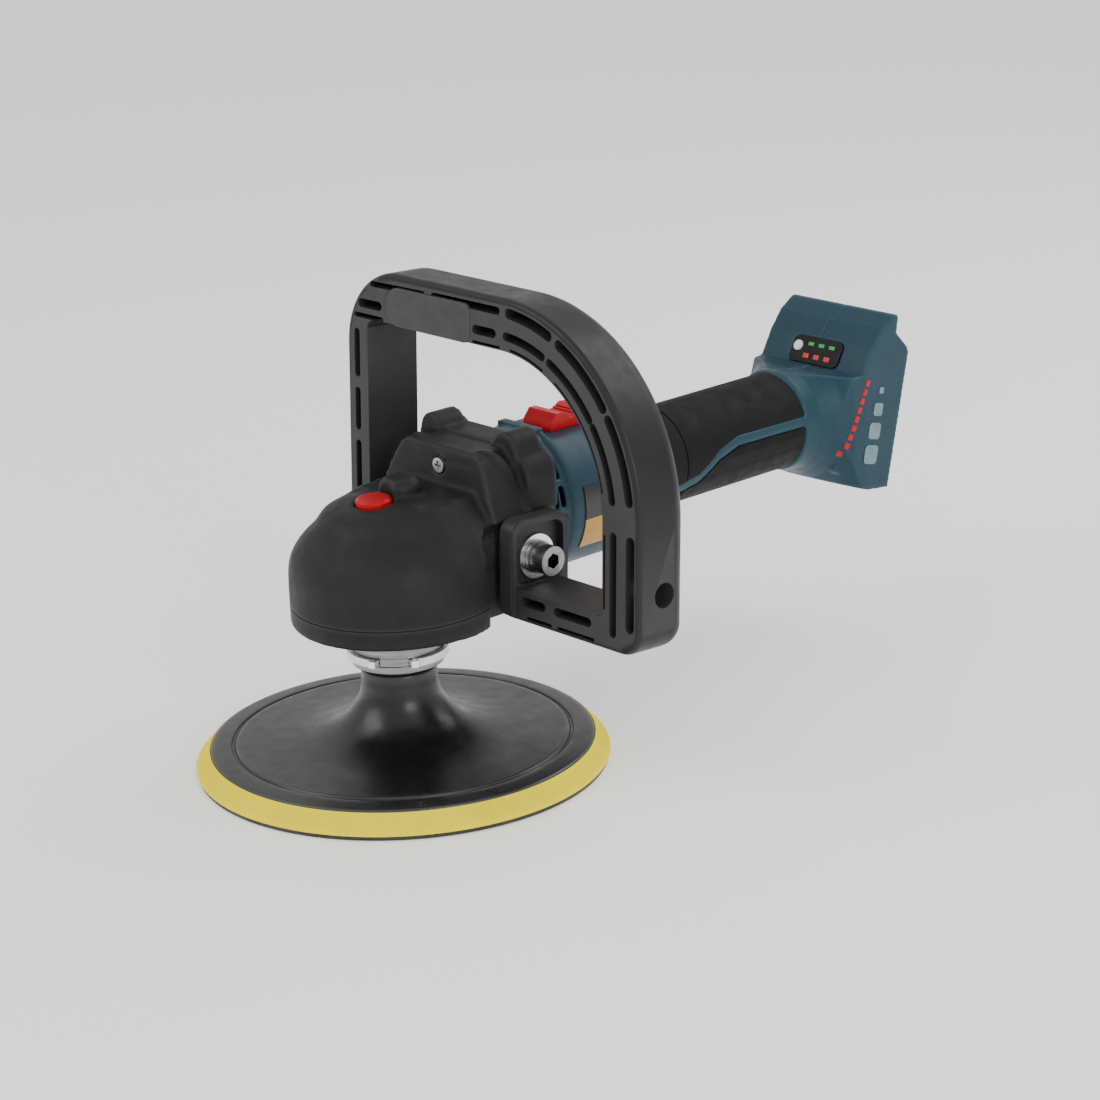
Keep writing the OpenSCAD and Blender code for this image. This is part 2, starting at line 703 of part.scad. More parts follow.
module housing_body() {
    difference() {
        union() {
            on_motor_axis() rotate_extrude() housing_profile();
            extrude_y(flange_split_y + 0.1, front_y - 0.3) inner_flange(0);
            intersection() {
                side_extrude(foot_w + 1) foot_side();
                plan_extrude(50, 160) foot_plan(0);
                on_motor_axis() rotate_extrude() flare_profile(0);
            }
            // stripe that shows between the two rubbers
            intersection() {
                on_motor_axis(taper_y1) cylinder(r = grip_r - 0.1, h = grip_end_y - taper_y1);
                side_extrude(80) grip_stripe(5);
            }
            // edge ring round the front of the slide's deck
            translate([-12, deck_y0 - 5, 120]) cube([24, 5, 14.6]);
        }
        difference() {
            on_motor_axis() rotate_extrude() cavity_profile();
            translate([-40, deck_y0 - 2.2, deck_z - 2]) cube([80, deck_y1 - deck_y0 + 4.4, 20]);
            // wall that holds the rear bearing
            on_motor_axis(127) difference() {
                cylinder(r = 40, h = 3);
                translate([0, 0, -1]) cylinder(r = 9.52, h = 5);
                translate([-3, -40, -1]) cube([6, 26, 5]);
            }
        }
        intersection() {
            side_extrude(foot_w) foot_room_side();
            plan_extrude(50, 160) foot_plan(wall);
            on_motor_axis() rotate_extrude() flare_profile(wall);
        }
        // deck and the slot for the slide's stem
        translate([-20, deck_y0, deck_z]) cube([40, deck_y1 - deck_y0, 12]);
        translate([-3.2, slide_y + 7.5, deck_z - 4]) cube([6.4, 16.5, 8]);
        vent_cuts();
        // flange screw pilot holes
        at_flange_screws(flange_split_y - 1) cylinder(r = 2.22, h = 16, $fn = 32);
        // battery bay, open at its lower end, with a lip along each side
        in_foot_frame() {
            translate([-bay_half, -bay_deep, -20]) cube([2 * bay_half, bay_deep - 2.6, bay_h + 20]);
            translate([-lip_half, -bay_deep, -20]) cube([2 * lip_half, bay_deep + 20, bay_h + 20]);
            translate([-13, -16, 12]) cube([26, 12, 34]);
        }
        // window for the indicator panel
        in_panel_frame() translate([0, 0, -8]) linear_extrude(20) rounded_rect([panel_w - 2, panel_h - 2], 2.4);
        in_panel_frame() translate([0, 0, -1.2])
            linear_extrude(20) rounded_rect([panel_w + 0.2, panel_h + 0.2], 3.4);
        // shell screws, driven from the right side
        at_shell_screws() {
            translate([0, 0, -12]) cylinder(r = 1.52, h = 60, $fn = 24);
            translate([0, 0, $reach - 2.4]) cylinder(r = 3.2, h = 30, $fn = 48);
        }
    }
}

// from the tool's middle plane towards the right side; $reach is the half width there
module at_shell_screws() {
    for (p = shell_screw_places) {
        $reach = p[2];
        translate([0, p[0], p[1]]) rotate([0, -90, 0]) children();
    }
}

module shell_bosses() {
    at_shell_screws() translate([0, 0, 1 - $reach]) difference() {
        cylinder(r = 3.4, h = 2 * $reach - 2, $fn = 48);
        translate([0, 0, -1]) cylinder(r = 1.52, h = 2 * $reach + 4, $fn = 24);
        translate([0, 0, 2 * $reach - 3.4]) cylinder(r = 3.2, h = 4, $fn = 48);
    }
}

module half_housing(side) {
    x0 = side > 0 ? 0 : -60;
    intersection() {
        union() {
            housing_body();
            shell_bosses();
        }
        translate([x0, 40, 40]) cube([60, 280, 140]);
    }
}

module housing_left() {
    color([0.1, 0.3, 0.38]) half_housing(1);
}

module housing_right() {
    color([0.1, 0.3, 0.38]) half_housing(-1);
}

module shell_screws() {
    color([0.35, 0.35, 0.37]) at_shell_screws() difference() {
        union() {
            translate([0, 0, $reach - 2.4]) cylinder(r = 3, h = 1.8, $fn = 48);
            translate([0, 0, -8.4]) cylinder(r = 1.5, h = $reach + 6.1, $fn = 24);
        }
        translate([0, 0, $reach - 1.6]) cylinder(r = 1.3, h = 2, $fn = 6);
    }
}

module grip_rubber() {
    difference() {
        on_motor_axis(taper_y1 + 3.1) ring(grip_r, tube_r + 0.02, grip_end_y - taper_y1 - 6.2);
        side_extrude(80) grip_stripe(5.3);
        // shallow ring near the front
        on_motor_axis(155) ring(grip_r + 1, grip_r - 0.4, 0.8);
        at_shell_screws() translate([0, 0, $reach]) cylinder(r = 3.2, h = 30, $fn = 48);
    }
}

module grip_rubber_upper() {
    color([0.07, 0.07, 0.07]) intersection() {
        grip_rubber();
        side_extrude(80) polygon(concat(stripe_line, [[240, 140], [130, 140]]));
    }
}

module grip_rubber_lower() {
    color([0.07, 0.07, 0.07]) intersection() {
        grip_rubber();
        side_extrude(80) polygon(concat(stripe_line, [[240, 60], [130, 60]]));
    }
}

// curved label on both flanks: y start, length, lower and upper angle above horizontal
module flank_label(y, l, a0, a1) {
    for (s = [0, 1]) on_motor_axis(y) mirror([s, 0, 0]) rotate(-a1)
        rotate_extrude(angle = a1 - a0) translate([motor_r + 0.01, 0]) square([0.5, l]);
}

module label_dark() {
    color([0.06, 0.05, 0.05]) flank_label(label_y, label_l, -8.9, 16);
}

module label_gold() {
    color([0.85, 0.62, 0.15]) flank_label(label_y, label_l, -34, -9);
}

// ---------- slide switch ----------

module switch_slide() {
    color([0.8, 0.02, 0.08]) union() {
        difference() {
            translate([0, slide_y, deck_z + 0.15]) side_extrude(slide_w) polygon([
                [0, 0], [slide_l, 0], [slide_l, 2.6], [slide_l - 4, 6], [slide_l - 8, 6.4], [slide_l - 13, 4],
                [12.5, 4], [8, 7.2], [4, 7.4], [0.6, 3.4]]);
            for (i = [0 : 3]) translate([-20, slide_y + 14 + i * 1.6, deck_z + 3.9]) cube([40, 0.7, 2]);
        }
        translate([-2.9, slide_y + 16, deck_z - 2.6]) cube([5.8, 7, 3]);
    }
}

module link_rod() {
    z_top = 126.4;
    low = 115.5;
    color([0.7, 0.7, 0.72]) union() {
        translate([0, slide_y + 19, z_top]) cylinder(r = 1, h = 1, $fn = 32);
        on_rod(slide_y + 18, z_top, 128, z_top);
        on_rod(128, z_top, 143, low);
        on_rod(143, low, 151, low);
    }
}

module on_rod(y0, z0, y1, z1) {
    l = sqrt(pow(y1 - y0, 2) + pow(z1 - z0, 2));
    translate([0, y0, z0]) rotate([-90 + atan2(z1 - z0, y1 - y0), 0, 0]) cylinder(r = 0.9, h = l, $fn = 32);
    translate([0, y0, z0]) sphere(1.1, $fn = 32);
}

module switch_unit() {
    color([0.15, 0.15, 0.16]) union() {
        translate([-7.5, 152.5, 99]) cube([15, 29, 17]);
        translate([-2, 151.4, 112]) cube([4, 2, 3]);
    }
}

module controller_board() {
    color([0.1, 0.35, 0.2]) translate([-15.5, 152, 91]) cube([31, 66, 1.6]);
}

module controller_parts() {
    color([0.2, 0.2, 0.22]) {
        for (i = [0 : 2], s = [-1, 1]) translate([s * 9 - 3.2, 156 + i * 10, 92.6]) cube([6.4, 7, 2.4]);
        for (s = [-1, 1]) translate([s * 6, 205, 92.6]) cylinder(r = 4.5, h = 13, $fn = 48);
        translate([-5, 188, 92.6]) cube([10, 8, 1.6]);
    }
}

// ---------- indicator panel ----------

module indicator_panel() {
    color([0.04, 0.04, 0.05]) in_panel_frame() difference() {
        translate([0, 0, -1.1]) linear_extrude(1.7) rounded_rect([panel_w, panel_h], 3.3);
        translate([-11.5, 1.2, -3]) cylinder(r = 2.7, h = 8);
        for (i = [0 : 2]) translate([-5.8 + i * lamp_step, 2, -3]) cube([3.6, 2, 8]);
        for (i = [0 : 2]) translate([-6.8 + i * lamp_step, -4.3, -3]) cube([3.6, 2.6, 8]);
    }
}

module indicator_board() {
    color([0.1, 0.35, 0.2]) in_panel_frame() translate([-13.5, -5, -5.6]) cube([27, 10, 1.4]);
}

module green_lamps() {
    color([0.1, 0.7, 0.2]) in_panel_frame() for (i = [0 : 2])
        translate([-5.75 + i * lamp_step, 2.05, -4.2]) cube([3.5, 1.9, 4.9]);
}

module red_lamps() {
    color([0.8, 0.1, 0.1]) in_panel_frame() for (i = [0 : 2])
        translate([-6.75 + i * lamp_step, -4.25, -4.2]) cube([3.5, 2.5, 4.9]);
}

module speed_button() {
    color([0.95, 0.95, 0.95]) in_panel_frame() translate([-11.5, 1.2, 0]) {
        translate([0, 0, -2.2]) cylinder(r = 2.62, h = 3.4);
        translate([0, 0, -3]) cylinder(r = 1, h = 1);
    }
}

module speed_spring() {
    color([0.6, 0.6, 0.62]) in_panel_frame() for (i = [0 : 1]) translate([-11.5, 1.2, -3.95 + i * 0.55])
        rotate_extrude() translate([1.8, 0]) circle(0.25, $fn = 16);
}

// ---------- battery terminals ----------

module terminal_block() {
    color([0.12, 0.12, 0.12]) in_foot_frame() translate([-12.9, -15.5, 12.1]) cube([25.8, 7.4, 33.8]);
}

module terminal_blades() {
    color([0.85, 0.7, 0.35]) in_foot_frame() for (x = [-8, 0, 8])
        translate([x - 0.4, -8.1, 16]) cube([0.8, 5.4, 22]);
}

// light inlays down each side of the foot, growing towards the bottom
module side_marks() {
    marks = [[46.5, 1.6], [37.4, 3.3], [27, 4.2], [15.6, 4.8]];
    color([0.6, 0.68, 0.72]) in_foot_frame() for (s = [-1, 1], m = marks)
        translate([s * (foot_half + 0.15), -15.4 - m[1] * 0.2, m[0]]) rotate([90, 0, 90])
            translate([0, 0, -0.15]) linear_extrude(0.3) rounded_rect([1.9 * m[1], 1.9 * m[1]], m[1] * 0.45);
}

// ---------- loop handle ----------

module in_handle_frame() {
    translate([0, bolt_y, bolt_z]) rotate([-handle_lean, 0, 0]) children();
}

module handle_front() {
    in_handle_frame() rotate([90, 0, 0]) children();
}

module quadrant(r) {
    intersection() {
        circle(r, $fn = 180);
        square([r, r]);
    }
}

module loop_outer() {
    translate([far_out + far_r, top_out - far_r]) circle(far_r);
    translate([far_out, -17]) square([far_r, top_out - far_r + 17]);
    translate([far_out + far_r, arm_bottom]) square([bend_c[0] - far_out - far_r, top_out - arm_bottom]);
    translate(bend_c) quadrant(bend_r_out);
    translate([bend_c[0], arm_bottom + foot_round]) square([bend_r_out, bend_c[1] - arm_bottom - foot_round]);
    translate([bend_c[0], arm_bottom]) square([bend_r_out - foot_round, foot_round + 1]);
    translate([leg_out - foot_round, arm_bottom + foot_round]) circle(foot_round);
}

module loop_inner() {
    r = 5;
    translate([far_in + r, top_in - r]) circle(r);
    translate([far_in, -60]) square([60, top_in - r + 60]);
    translate([far_in + r, 0]) square([bend_c[0] - far_in - r, top_in]);
    translate(bend_c) quadrant(bend_r_in);
    translate([plate_x - 1, arm_top]) square([leg_in - plate_x + 1, bend_c[1] - arm_top]);
    translate([0, plate_top]) square([leg_in, bend_c[1] - plate_top]);
    translate([far_in + 1, -60]) square([boss_x + 0.15 - far_in - 1, 120]);
}

// slot along the top bar, leg or arm: centre line from a to b
module straight_slot(a, b, w) {
    d = b - a;
    l = norm(d);
    translate(a) rotate(atan2(d[1], d[0])) {
        translate([w / 2, -w / 2]) square([l - w, w]);
        for (t = [w / 2, l - w / 2]) translate([t, 0]) circle(w / 2, $fn = 32);
    }
}

// slot round the big bend: centre line radius r, from angle a0 to a1
module bend_slot(r, a0, a1, w) {
    translate(bend_c) {
        intersection() {
            difference() {
                circle(r + w / 2, $fn = 180);
                circle(r - w / 2, $fn = 180);
            }
            sector(r + w, a0, a1);
        }
        for (a = [a0, a1]) rotate(a) translate([r, 0]) circle(w / 2 - 0.12, $fn = 32);
    }
}

module loop_slots() {
    // big bend, three slots a row
    for (span = [[68, 84], [38, 61], [9, 32]]) {
        bend_slot(bend_r_out - row_out, span[0], span[1] + 2, slot_w);
        bend_slot(bend_r_out - row_mid, span[0], span[1] + 3, slot_w - 0.8);
    }
    bend_slot(bend_r_out - row_in, 66, 84, thin_slot);
    // near leg
    straight_slot([leg_out - row_out, 26], [leg_out - row_out, -15], slot_w + 0.4);
    straight_slot([leg_out - row_mid, 26], [leg_out - row_mid, -19], slot_w - 0.6);
    straight_slot([leg_out - row_in, 24], [leg_out - row_in, -8], thin_slot);
    // lower arm
    straight_slot([49, -15.7], [64, -15.7], 4);
    straight_slot([69, -15.7], [92, -15.7], 4);
    straight_slot([52, -22.6], [68, -22.6], 1.6);
    straight_slot([71, -22.6], [94, -22.6], 1.6);
    // top bar
    straight_slot([-49, top_out - row_out - 0.6], [-12, top_out - row_out], 2.6);
    straight_slot([-8, top_out - row_out], [36, top_out - row_out], 3.4);
    straight_slot([-57, top_out - row_mid], [-41, top_out - row_mid], 4);
    straight_slot([18.5, top_out - row_mid], [33.5, top_out - row_mid], 4);
    straight_slot([-60, top_out - row_in - 0.4], [-40, top_out - row_in - 0.4], 2.4);
    straight_slot([18.5, top_out - row_in - 0.4], [36, top_out - row_in - 0.4], thin_slot);
    // far leg
    for (span = [[63, 85], [39, 58.5], [7, 34.5]]) straight_slot([-58.3, span[0]], [-58.3, span[1]], 3.6);
}

module pad_outline(inset) {
    r = 8.6 - inset;
    translate([-30, 98.2]) circle(r);
    translate([-30, 98.2 - r]) square([42 - inset, 2 * r]);
    translate([0, 98.2]) rounded_rect([33.2 - 2 * inset, 2 * r], 4);
}

module handle_plate() {
    translate([boss_x + 0.15, 0, 0]) rotate([90, 0, 90]) linear_extrude(plate_x - boss_x - 0.15)
        translate([0, (plate_top + arm_bottom) / 2]) rounded_rect([2 * plate_half, plate_top - arm_bottom], 6);
}

module far_mount() {
    rotate([0, -90, 0]) translate([0, 0, boss_x + 0.15]) cylinder(r = 15, h = -far_in - boss_x);
    rotate([0, -90, 0]) translate([0, 0, -far_in - 1]) cylinder(r = 17, h = far_in - far_out + 1);
}

module loop_handle() {
    color([0.16, 0.16, 0.17]) difference() {
        union() {
            difference() {
                handle_front() linear_extrude(handle_depth, center = true) difference() {
                    loop_outer();
                    loop_inner();
                }
                // rounded lower end of the far leg
                in_handle_frame() translate([-70, -40, -40]) cube([40, 80, 40]);
            }
            in_handle_frame() handle_plate();
            in_handle_frame() far_mount();
        }
        handle_front() translate([0, 0, handle_depth / 2 - 11]) linear_extrude(20) loop_slots();
        handle_front() translate([0, 0, handle_depth / 2 - 1.5]) linear_extrude(20) pad_outline(-0.1);
        // near pocket, its bolt hole and the key hole through the leg
        in_handle_frame() translate([plate_floor, 0, 0]) rotate([90, 0, 90]) linear_extrude(12)
            translate([0, 2.3]) rounded_rect([2 * plate_half - 6.4, 25.6], 5);
        in_handle_frame() rotate([0, 90, 0]) cylinder(r = bolt_r + run, h = 60);
        in_handle_frame() translate([80, 0, 0]) rotate([0, 90, 0]) cylinder(r = 5.4, h = 60);
        // far bolt hole and its counterbore
        in_handle_frame() rotate([0, -90, 0]) cylinder(r = bolt_r + run, h = 80);
        in_handle_frame() translate([-far_seat, 0, 0]) rotate([0, -90, 0]) cylinder(r = 10.6, h = 20);
    }
}

module handle_pad() {
    color([0.13, 0.13, 0.14]) handle_front() translate([0, 0, handle_depth / 2 - 1.4])
        linear_extrude(1.9) pad_outline(0);
}

module at_bolt(s) {
    translate([0, bolt_y, bolt_z]) rotate([0, 90 * s, 0]) children();
}

module flat_washers() {
    color([0.86, 0.86, 0.86]) for (b = bolt_seats) at_bolt(b[0])
        translate([0, 0, b[1]]) ring(9.9, bolt_r + 0.02, 1.5);
}

module spring_washers() {
    color([0.5, 0.5, 0.52]) for (b = bolt_seats) at_bolt(b[0]) translate([0, 0, b[1] + 1.5]) difference() {
        ring(7.2, bolt_r + 0.02, 2.1);
        rotate(40) translate([0, -0.5, -1]) cube([12, 1, 5]);
    }
}

module handle_bolts() {
    color([0.5, 0.5, 0.52]) for (b = bolt_seats) at_bolt(b[0]) difference() {
        union() {
            translate([0, 0, b[1] + 3.6]) cylinder(r = 6.5, h = 8);
            translate([0, 0, 27]) cylinder(r = bolt_r, h = b[1] - 23);
        }
        translate([0, 0, b[1] + 7.6]) cylinder(r = 3.4, h = 8, $fn = 6);
    }
}

hook_layer();
foam_pad();
backing_disc();
hub_insert();
spindle();
crown_gear();
gear_circlip();
bearing_inner_race();
bearing_outer_race();
bearing_balls();
top_bearing();
bearing_collar();
collar_clip();
collar_screws();
gear_case();
rubber_boot();
boot_screw();
flange_screws();
lock_button();
lock_pin();
lock_spring();
rotor_shaft();
rotor_core();
rotor_magnets();
cooling_fan();
pinion();
front_bearing();
rear_bearing();
stator_core();
stator_coils();
sensor_board();
housing_left();
housing_right();
shell_screws();
grip_rubber_upper();
grip_rubber_lower();
label_dark();
label_gold();
switch_slide();
link_rod();
switch_unit();
controller_board();
controller_parts();
indicator_panel();
indicator_board();
green_lamps();
red_lamps();
speed_button();
speed_spring();
terminal_block();
terminal_blades();
side_marks();
loop_handle();
handle_pad();
handle_bolts();
flat_washers();
spring_washers();
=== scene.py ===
import json
import math

import bpy
from mathutils import Matrix, Vector


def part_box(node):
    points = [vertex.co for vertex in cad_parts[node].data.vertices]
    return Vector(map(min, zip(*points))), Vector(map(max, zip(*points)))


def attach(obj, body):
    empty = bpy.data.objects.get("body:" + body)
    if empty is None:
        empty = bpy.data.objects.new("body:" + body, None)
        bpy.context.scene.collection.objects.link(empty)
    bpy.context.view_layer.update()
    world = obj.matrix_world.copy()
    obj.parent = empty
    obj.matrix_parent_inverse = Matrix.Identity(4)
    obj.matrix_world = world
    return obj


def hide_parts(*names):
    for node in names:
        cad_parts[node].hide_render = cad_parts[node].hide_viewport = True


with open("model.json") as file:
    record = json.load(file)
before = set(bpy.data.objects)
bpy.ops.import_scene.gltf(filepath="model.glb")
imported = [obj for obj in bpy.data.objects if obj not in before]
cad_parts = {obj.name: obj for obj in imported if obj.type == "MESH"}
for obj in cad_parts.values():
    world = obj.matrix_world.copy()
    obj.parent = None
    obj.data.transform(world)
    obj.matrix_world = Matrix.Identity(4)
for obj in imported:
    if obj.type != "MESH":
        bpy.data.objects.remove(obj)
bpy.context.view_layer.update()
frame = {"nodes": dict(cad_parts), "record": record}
cadNodes = frame["nodes"]
mm = 0.001


# small helpers used by every piece

def clearSelection():
    if bpy.context.object and bpy.context.object.mode != "OBJECT":
        bpy.ops.object.mode_set(mode="OBJECT")
    bpy.ops.object.select_all(action="DESELECT")


def onlySelect(obj):
    clearSelection()
    obj.select_set(True)
    bpy.context.view_layer.objects.active = obj


def settle(obj):
    onlySelect(obj)
    bpy.ops.object.transform_apply(location=True, rotation=True, scale=True)
    return obj


def applyModifier(obj, kind, **settings):
    modifier = obj.modifiers.new(kind.lower(), kind)
    for key, value in settings.items():
        setattr(modifier, key, value)
    onlySelect(obj)
    bpy.ops.object.modifier_apply(modifier=modifier.name)
    return obj


def inEditMode(obj, steps):
    onlySelect(obj)
    bpy.ops.object.mode_set(mode="EDIT")
    bpy.ops.mesh.select_all(action="SELECT")
    steps()
    bpy.ops.object.mode_set(mode="OBJECT")
    return obj


def cleanUp(obj, distance=0.00001):
    def steps():
        bpy.ops.mesh.remove_doubles(threshold=distance)
        bpy.ops.mesh.normals_make_consistent(inside=False)
    return inEditMode(obj, steps)


def smoothEdges(obj, angle=35):
    onlySelect(obj)
    bpy.ops.object.shade_smooth_by_angle(angle=math.radians(angle))
    return obj


def selectEdges(obj, test):
    onlySelect(obj)
    bpy.ops.object.mode_set(mode="EDIT")
    bpy.ops.mesh.select_mode(type="EDGE")
    bpy.ops.mesh.select_all(action="DESELECT")
    bpy.ops.object.mode_set(mode="OBJECT")
    for edge in obj.data.edges:
        a, b = (obj.data.vertices[i].co for i in edge.vertices)
        edge.select = bool(test(a, b))
    bpy.ops.object.mode_set(mode="EDIT")


def bevelEdges(obj, test, width, segments):
    selectEdges(obj, test)
    bpy.ops.mesh.bevel(offset=width, segments=segments, profile=0.5, clamp_overlap=True)
    bpy.ops.object.mode_set(mode="OBJECT")
    return obj


def joinInto(obj, others):
    onlySelect(obj)
    for other in others:
        other.select_set(True)
    bpy.ops.object.join()
    return obj


def cutWith(obj, cutter, operation="DIFFERENCE", overlapping=False):
    applyModifier(obj, "BOOLEAN", object=cutter, operation=operation, solver="EXACT", use_self=overlapping)
    bpy.data.objects.remove(cutter)
    return obj


# a flat outline of (x, z) points made a solid from y0 to y1
def outlineSolid(name, points, y0, y1):
    clearSelection()
    bpy.ops.mesh.primitive_circle_add(vertices=len(points), radius=0.01, fill_type="NGON")
    piece = bpy.context.object
    piece.name = name
    for vertex, point in zip(piece.data.vertices, points):
        vertex.co = (point[0] * mm, y0 * mm, point[1] * mm)

    def steps():
        bpy.ops.mesh.extrude_region_move(TRANSFORM_OT_translate={"value": (0, (y1 - y0) * mm, 0)})
        bpy.ops.mesh.select_all(action="SELECT")
        bpy.ops.mesh.normals_make_consistent(inside=False)
    return inEditMode(piece, steps)


# box with four long edges rounded
def roundedBox(name, low, high, radius, axis, segments=5):
    clearSelection()
    size = [(high[i] - low[i]) * mm for i in range(3)]
    middle = [(high[i] + low[i]) / 2 * mm for i in range(3)]
    bpy.ops.mesh.primitive_cube_add(size=1, location=middle)
    box = bpy.context.object
    box.name = name
    box.scale = size
    settle(box)
    bevelEdges(box, lambda a, b: abs(abs(a[axis] - b[axis]) - size[axis]) < 1e-6, radius * mm, segments)
    return box


# a closed profile of (radius, z) points turned about the spindle
def turnedPiece(name, profile, steps=160):
    clearSelection()
    bpy.ops.mesh.primitive_circle_add(vertices=len(profile), radius=0.01, fill_type="NOTHING")
    piece = bpy.context.object
    piece.name = name
    for vertex, point in zip(piece.data.vertices, profile):
        vertex.co = (point[0] * mm, 0, point[1] * mm)

    def turn():
        bpy.ops.mesh.spin(steps=steps, angle=math.tau, center=(0, 0, 0), axis=(0, 0, 1))
        bpy.ops.mesh.select_all(action="SELECT")
        bpy.ops.mesh.remove_doubles(threshold=0.00002)
        bpy.ops.mesh.normals_make_consistent(inside=False)
    return inEditMode(piece, turn)


def arc(cx, cz, radius, start, end, steps):
    turns = [math.radians(start + (end - start) * i / steps) for i in range(steps + 1)]
    return [(cx + radius * math.cos(t), cz + radius * math.sin(t)) for t in turns]


# one coordinate of a smooth curve, t of the way from b to c
def between(a, b, c, d, t):
    bend = 2 * a - 5 * b + 4 * c - d
    twist = 3 * b - a - 3 * c + d
    return 0.5 * (2 * b + (c - a) * t + bend * t * t + twist * t ** 3)


# smooth curve through a few (radius, z) points
def flowing(points, steps=5):
    out = []
    for i in range(len(points) - 1):
        p0 = points[max(i - 1, 0)]
        p1 = points[i]
        p2 = points[i + 1]
        p3 = points[min(i + 2, len(points) - 1)]
        for k in range(steps):
            t = k / steps
            out.append(tuple(between(a, b, c, d, t) for a, b, c, d in zip(p0, p1, p2, p3)))
    out.append(points[-1])
    return out


# own copy of a CAD node's mesh, merged, ready to be worked on
def copyOf(nodeName, pieceName):
    piece = bpy.data.objects.new(pieceName, cadNodes[nodeName].data.copy())
    bpy.context.scene.collection.objects.link(piece)
    piece.data.materials.clear()
    if piece.data.has_custom_normals:
        onlySelect(piece)
        bpy.ops.mesh.customdata_custom_splitnormals_clear()
    inEditMode(piece, lambda: bpy.ops.mesh.remove_doubles(threshold=0.000005))
    return piece


# copy whose sharp edges get a small rounding
def roundedCopy(nodeName, pieceName, width, segments=2, angle=32):
    piece = copyOf(nodeName, pieceName)
    inEditMode(piece, lambda: bpy.ops.mesh.dissolve_limited(angle_limit=math.radians(0.6)))
    applyModifier(piece, "BEVEL", width=width * mm, segments=segments, limit_method="ANGLE",
                  angle_limit=math.radians(angle), use_clamp_overlap=True, miter_outer="MITER_ARC")
    smoothEdges(piece)
    return applyModifier(piece, "WEIGHTED_NORMAL", keep_sharp=True)


# soft moulded copy: everything joined to it melts into one skin
def mouldedCopy(piece, voxel, rounds, factor=0.5):
    applyModifier(piece, "REMESH", mode="VOXEL", voxel_size=voxel * mm)
    applyModifier(piece, "SMOOTH", factor=factor, iterations=rounds)
    onlySelect(piece)
    bpy.ops.object.shade_smooth()
    return piece


# finishes

def finishNode(tree, kind, **values):
    node = tree.nodes.new(kind)
    for key, value in values.items():
        if key in node.inputs:
            node.inputs[key].default_value = value
        else:
            setattr(node, key, value)
    return node


def finish(name, look):
    material = bpy.data.materials.new(name)
    material.use_nodes = True
    tree = material.node_tree
    link = tree.links.new
    shader = tree.nodes["Principled BSDF"]
    place = finishNode(tree, "ShaderNodeTexCoord")
    stretch = finishNode(tree, "ShaderNodeMapping")
    stretch.inputs["Scale"].default_value = look.get("stretch", (1, 1, 1))
    link(place.outputs["Object"], stretch.inputs["Vector"])

    # colour: two tones mottled together, paler on worn edges
    cloudScale = look.get("cloudScale", 60)
    cloud = finishNode(tree, "ShaderNodeTexNoise", Scale=cloudScale, Detail=5.0, Roughness=0.6)
    link(stretch.outputs["Vector"], cloud.inputs["Vector"])
    tones = finishNode(tree, "ShaderNodeValToRGB")
    tones.color_ramp.elements[0].position = 0.3
    tones.color_ramp.elements[1].position = 0.72
    tones.color_ramp.elements[0].color = (*look["dark"], 1)
    tones.color_ramp.elements[1].color = (*look["light"], 1)
    link(cloud.outputs["Fac"], tones.inputs["Fac"])
    colour = tones.outputs["Color"]
    if look.get("pattern"):
        colour = patternOver(tree, look, stretch, colour)
    if look.get("edge"):
        shape = finishNode(tree, "ShaderNodeNewGeometry")
        worn = finishNode(tree, "ShaderNodeValToRGB")
        worn.color_ramp.elements[0].position = 0.5
        worn.color_ramp.elements[1].position = look.get("edgeAt", 0.56)
        link(shape.outputs["Pointiness"], worn.inputs["Fac"])
        wear = finishNode(tree, "ShaderNodeMix", data_type="RGBA")
        wear.inputs[7].default_value = (*look["edge"], 1)
        link(worn.outputs["Color"], wear.inputs[0])
        link(colour, wear.inputs[6])
        colour = wear.outputs[2]
    link(colour, shader.inputs["Base Color"])

    # roughness wanders a little, as handled plastic and metal do
    smudge = finishNode(tree, "ShaderNodeTexNoise", Scale=look.get("smudgeScale", 140), Detail=4.0)
    link(stretch.outputs["Vector"], smudge.inputs["Vector"])
    rough = finishNode(tree, "ShaderNodeMapRange")
    rough.inputs["From Min"].default_value = 0.3
    rough.inputs["From Max"].default_value = 0.7
    rough.inputs["To Min"].default_value = look["rough"][0]
    rough.inputs["To Max"].default_value = look["rough"][1]
    link(smudge.outputs["Fac"], rough.inputs["Value"])
    link(rough.outputs["Result"], shader.inputs["Roughness"])

    # grain
    if look.get("cells"):
        grain = finishNode(tree, "ShaderNodeTexVoronoi", Scale=look["grainScale"])
        height = grain.outputs["Distance"]
    else:
        grain = finishNode(tree, "ShaderNodeTexNoise", Scale=look["grainScale"], Detail=3.0, Roughness=0.55)
        height = grain.outputs["Fac"]
    link(stretch.outputs["Vector"], grain.inputs["Vector"])
    bump = finishNode(tree, "ShaderNodeBump", Strength=look.get("grainStrength", 0.3),
                      Distance=look.get("grainDepth", 0.1) * mm)
    link(height, bump.inputs["Height"])
    link(bump.outputs["Normal"], shader.inputs["Normal"])

    shader.inputs["Metallic"].default_value = look.get("metal", 0)
    shader.inputs["Specular IOR Level"].default_value = look.get("specular", 0.5)
    shader.inputs["Coat Weight"].default_value = look.get("coat", 0)
    shader.inputs["Coat Roughness"].default_value = look.get("coatRough", 0.1)
    shader.inputs["Sheen Weight"].default_value = look.get("sheen", 0)
    if look.get("glow"):
        shader.inputs["Emission Color"].default_value = (*look["light"], 1)
        shader.inputs["Emission Strength"].default_value = look["glow"]
    return material


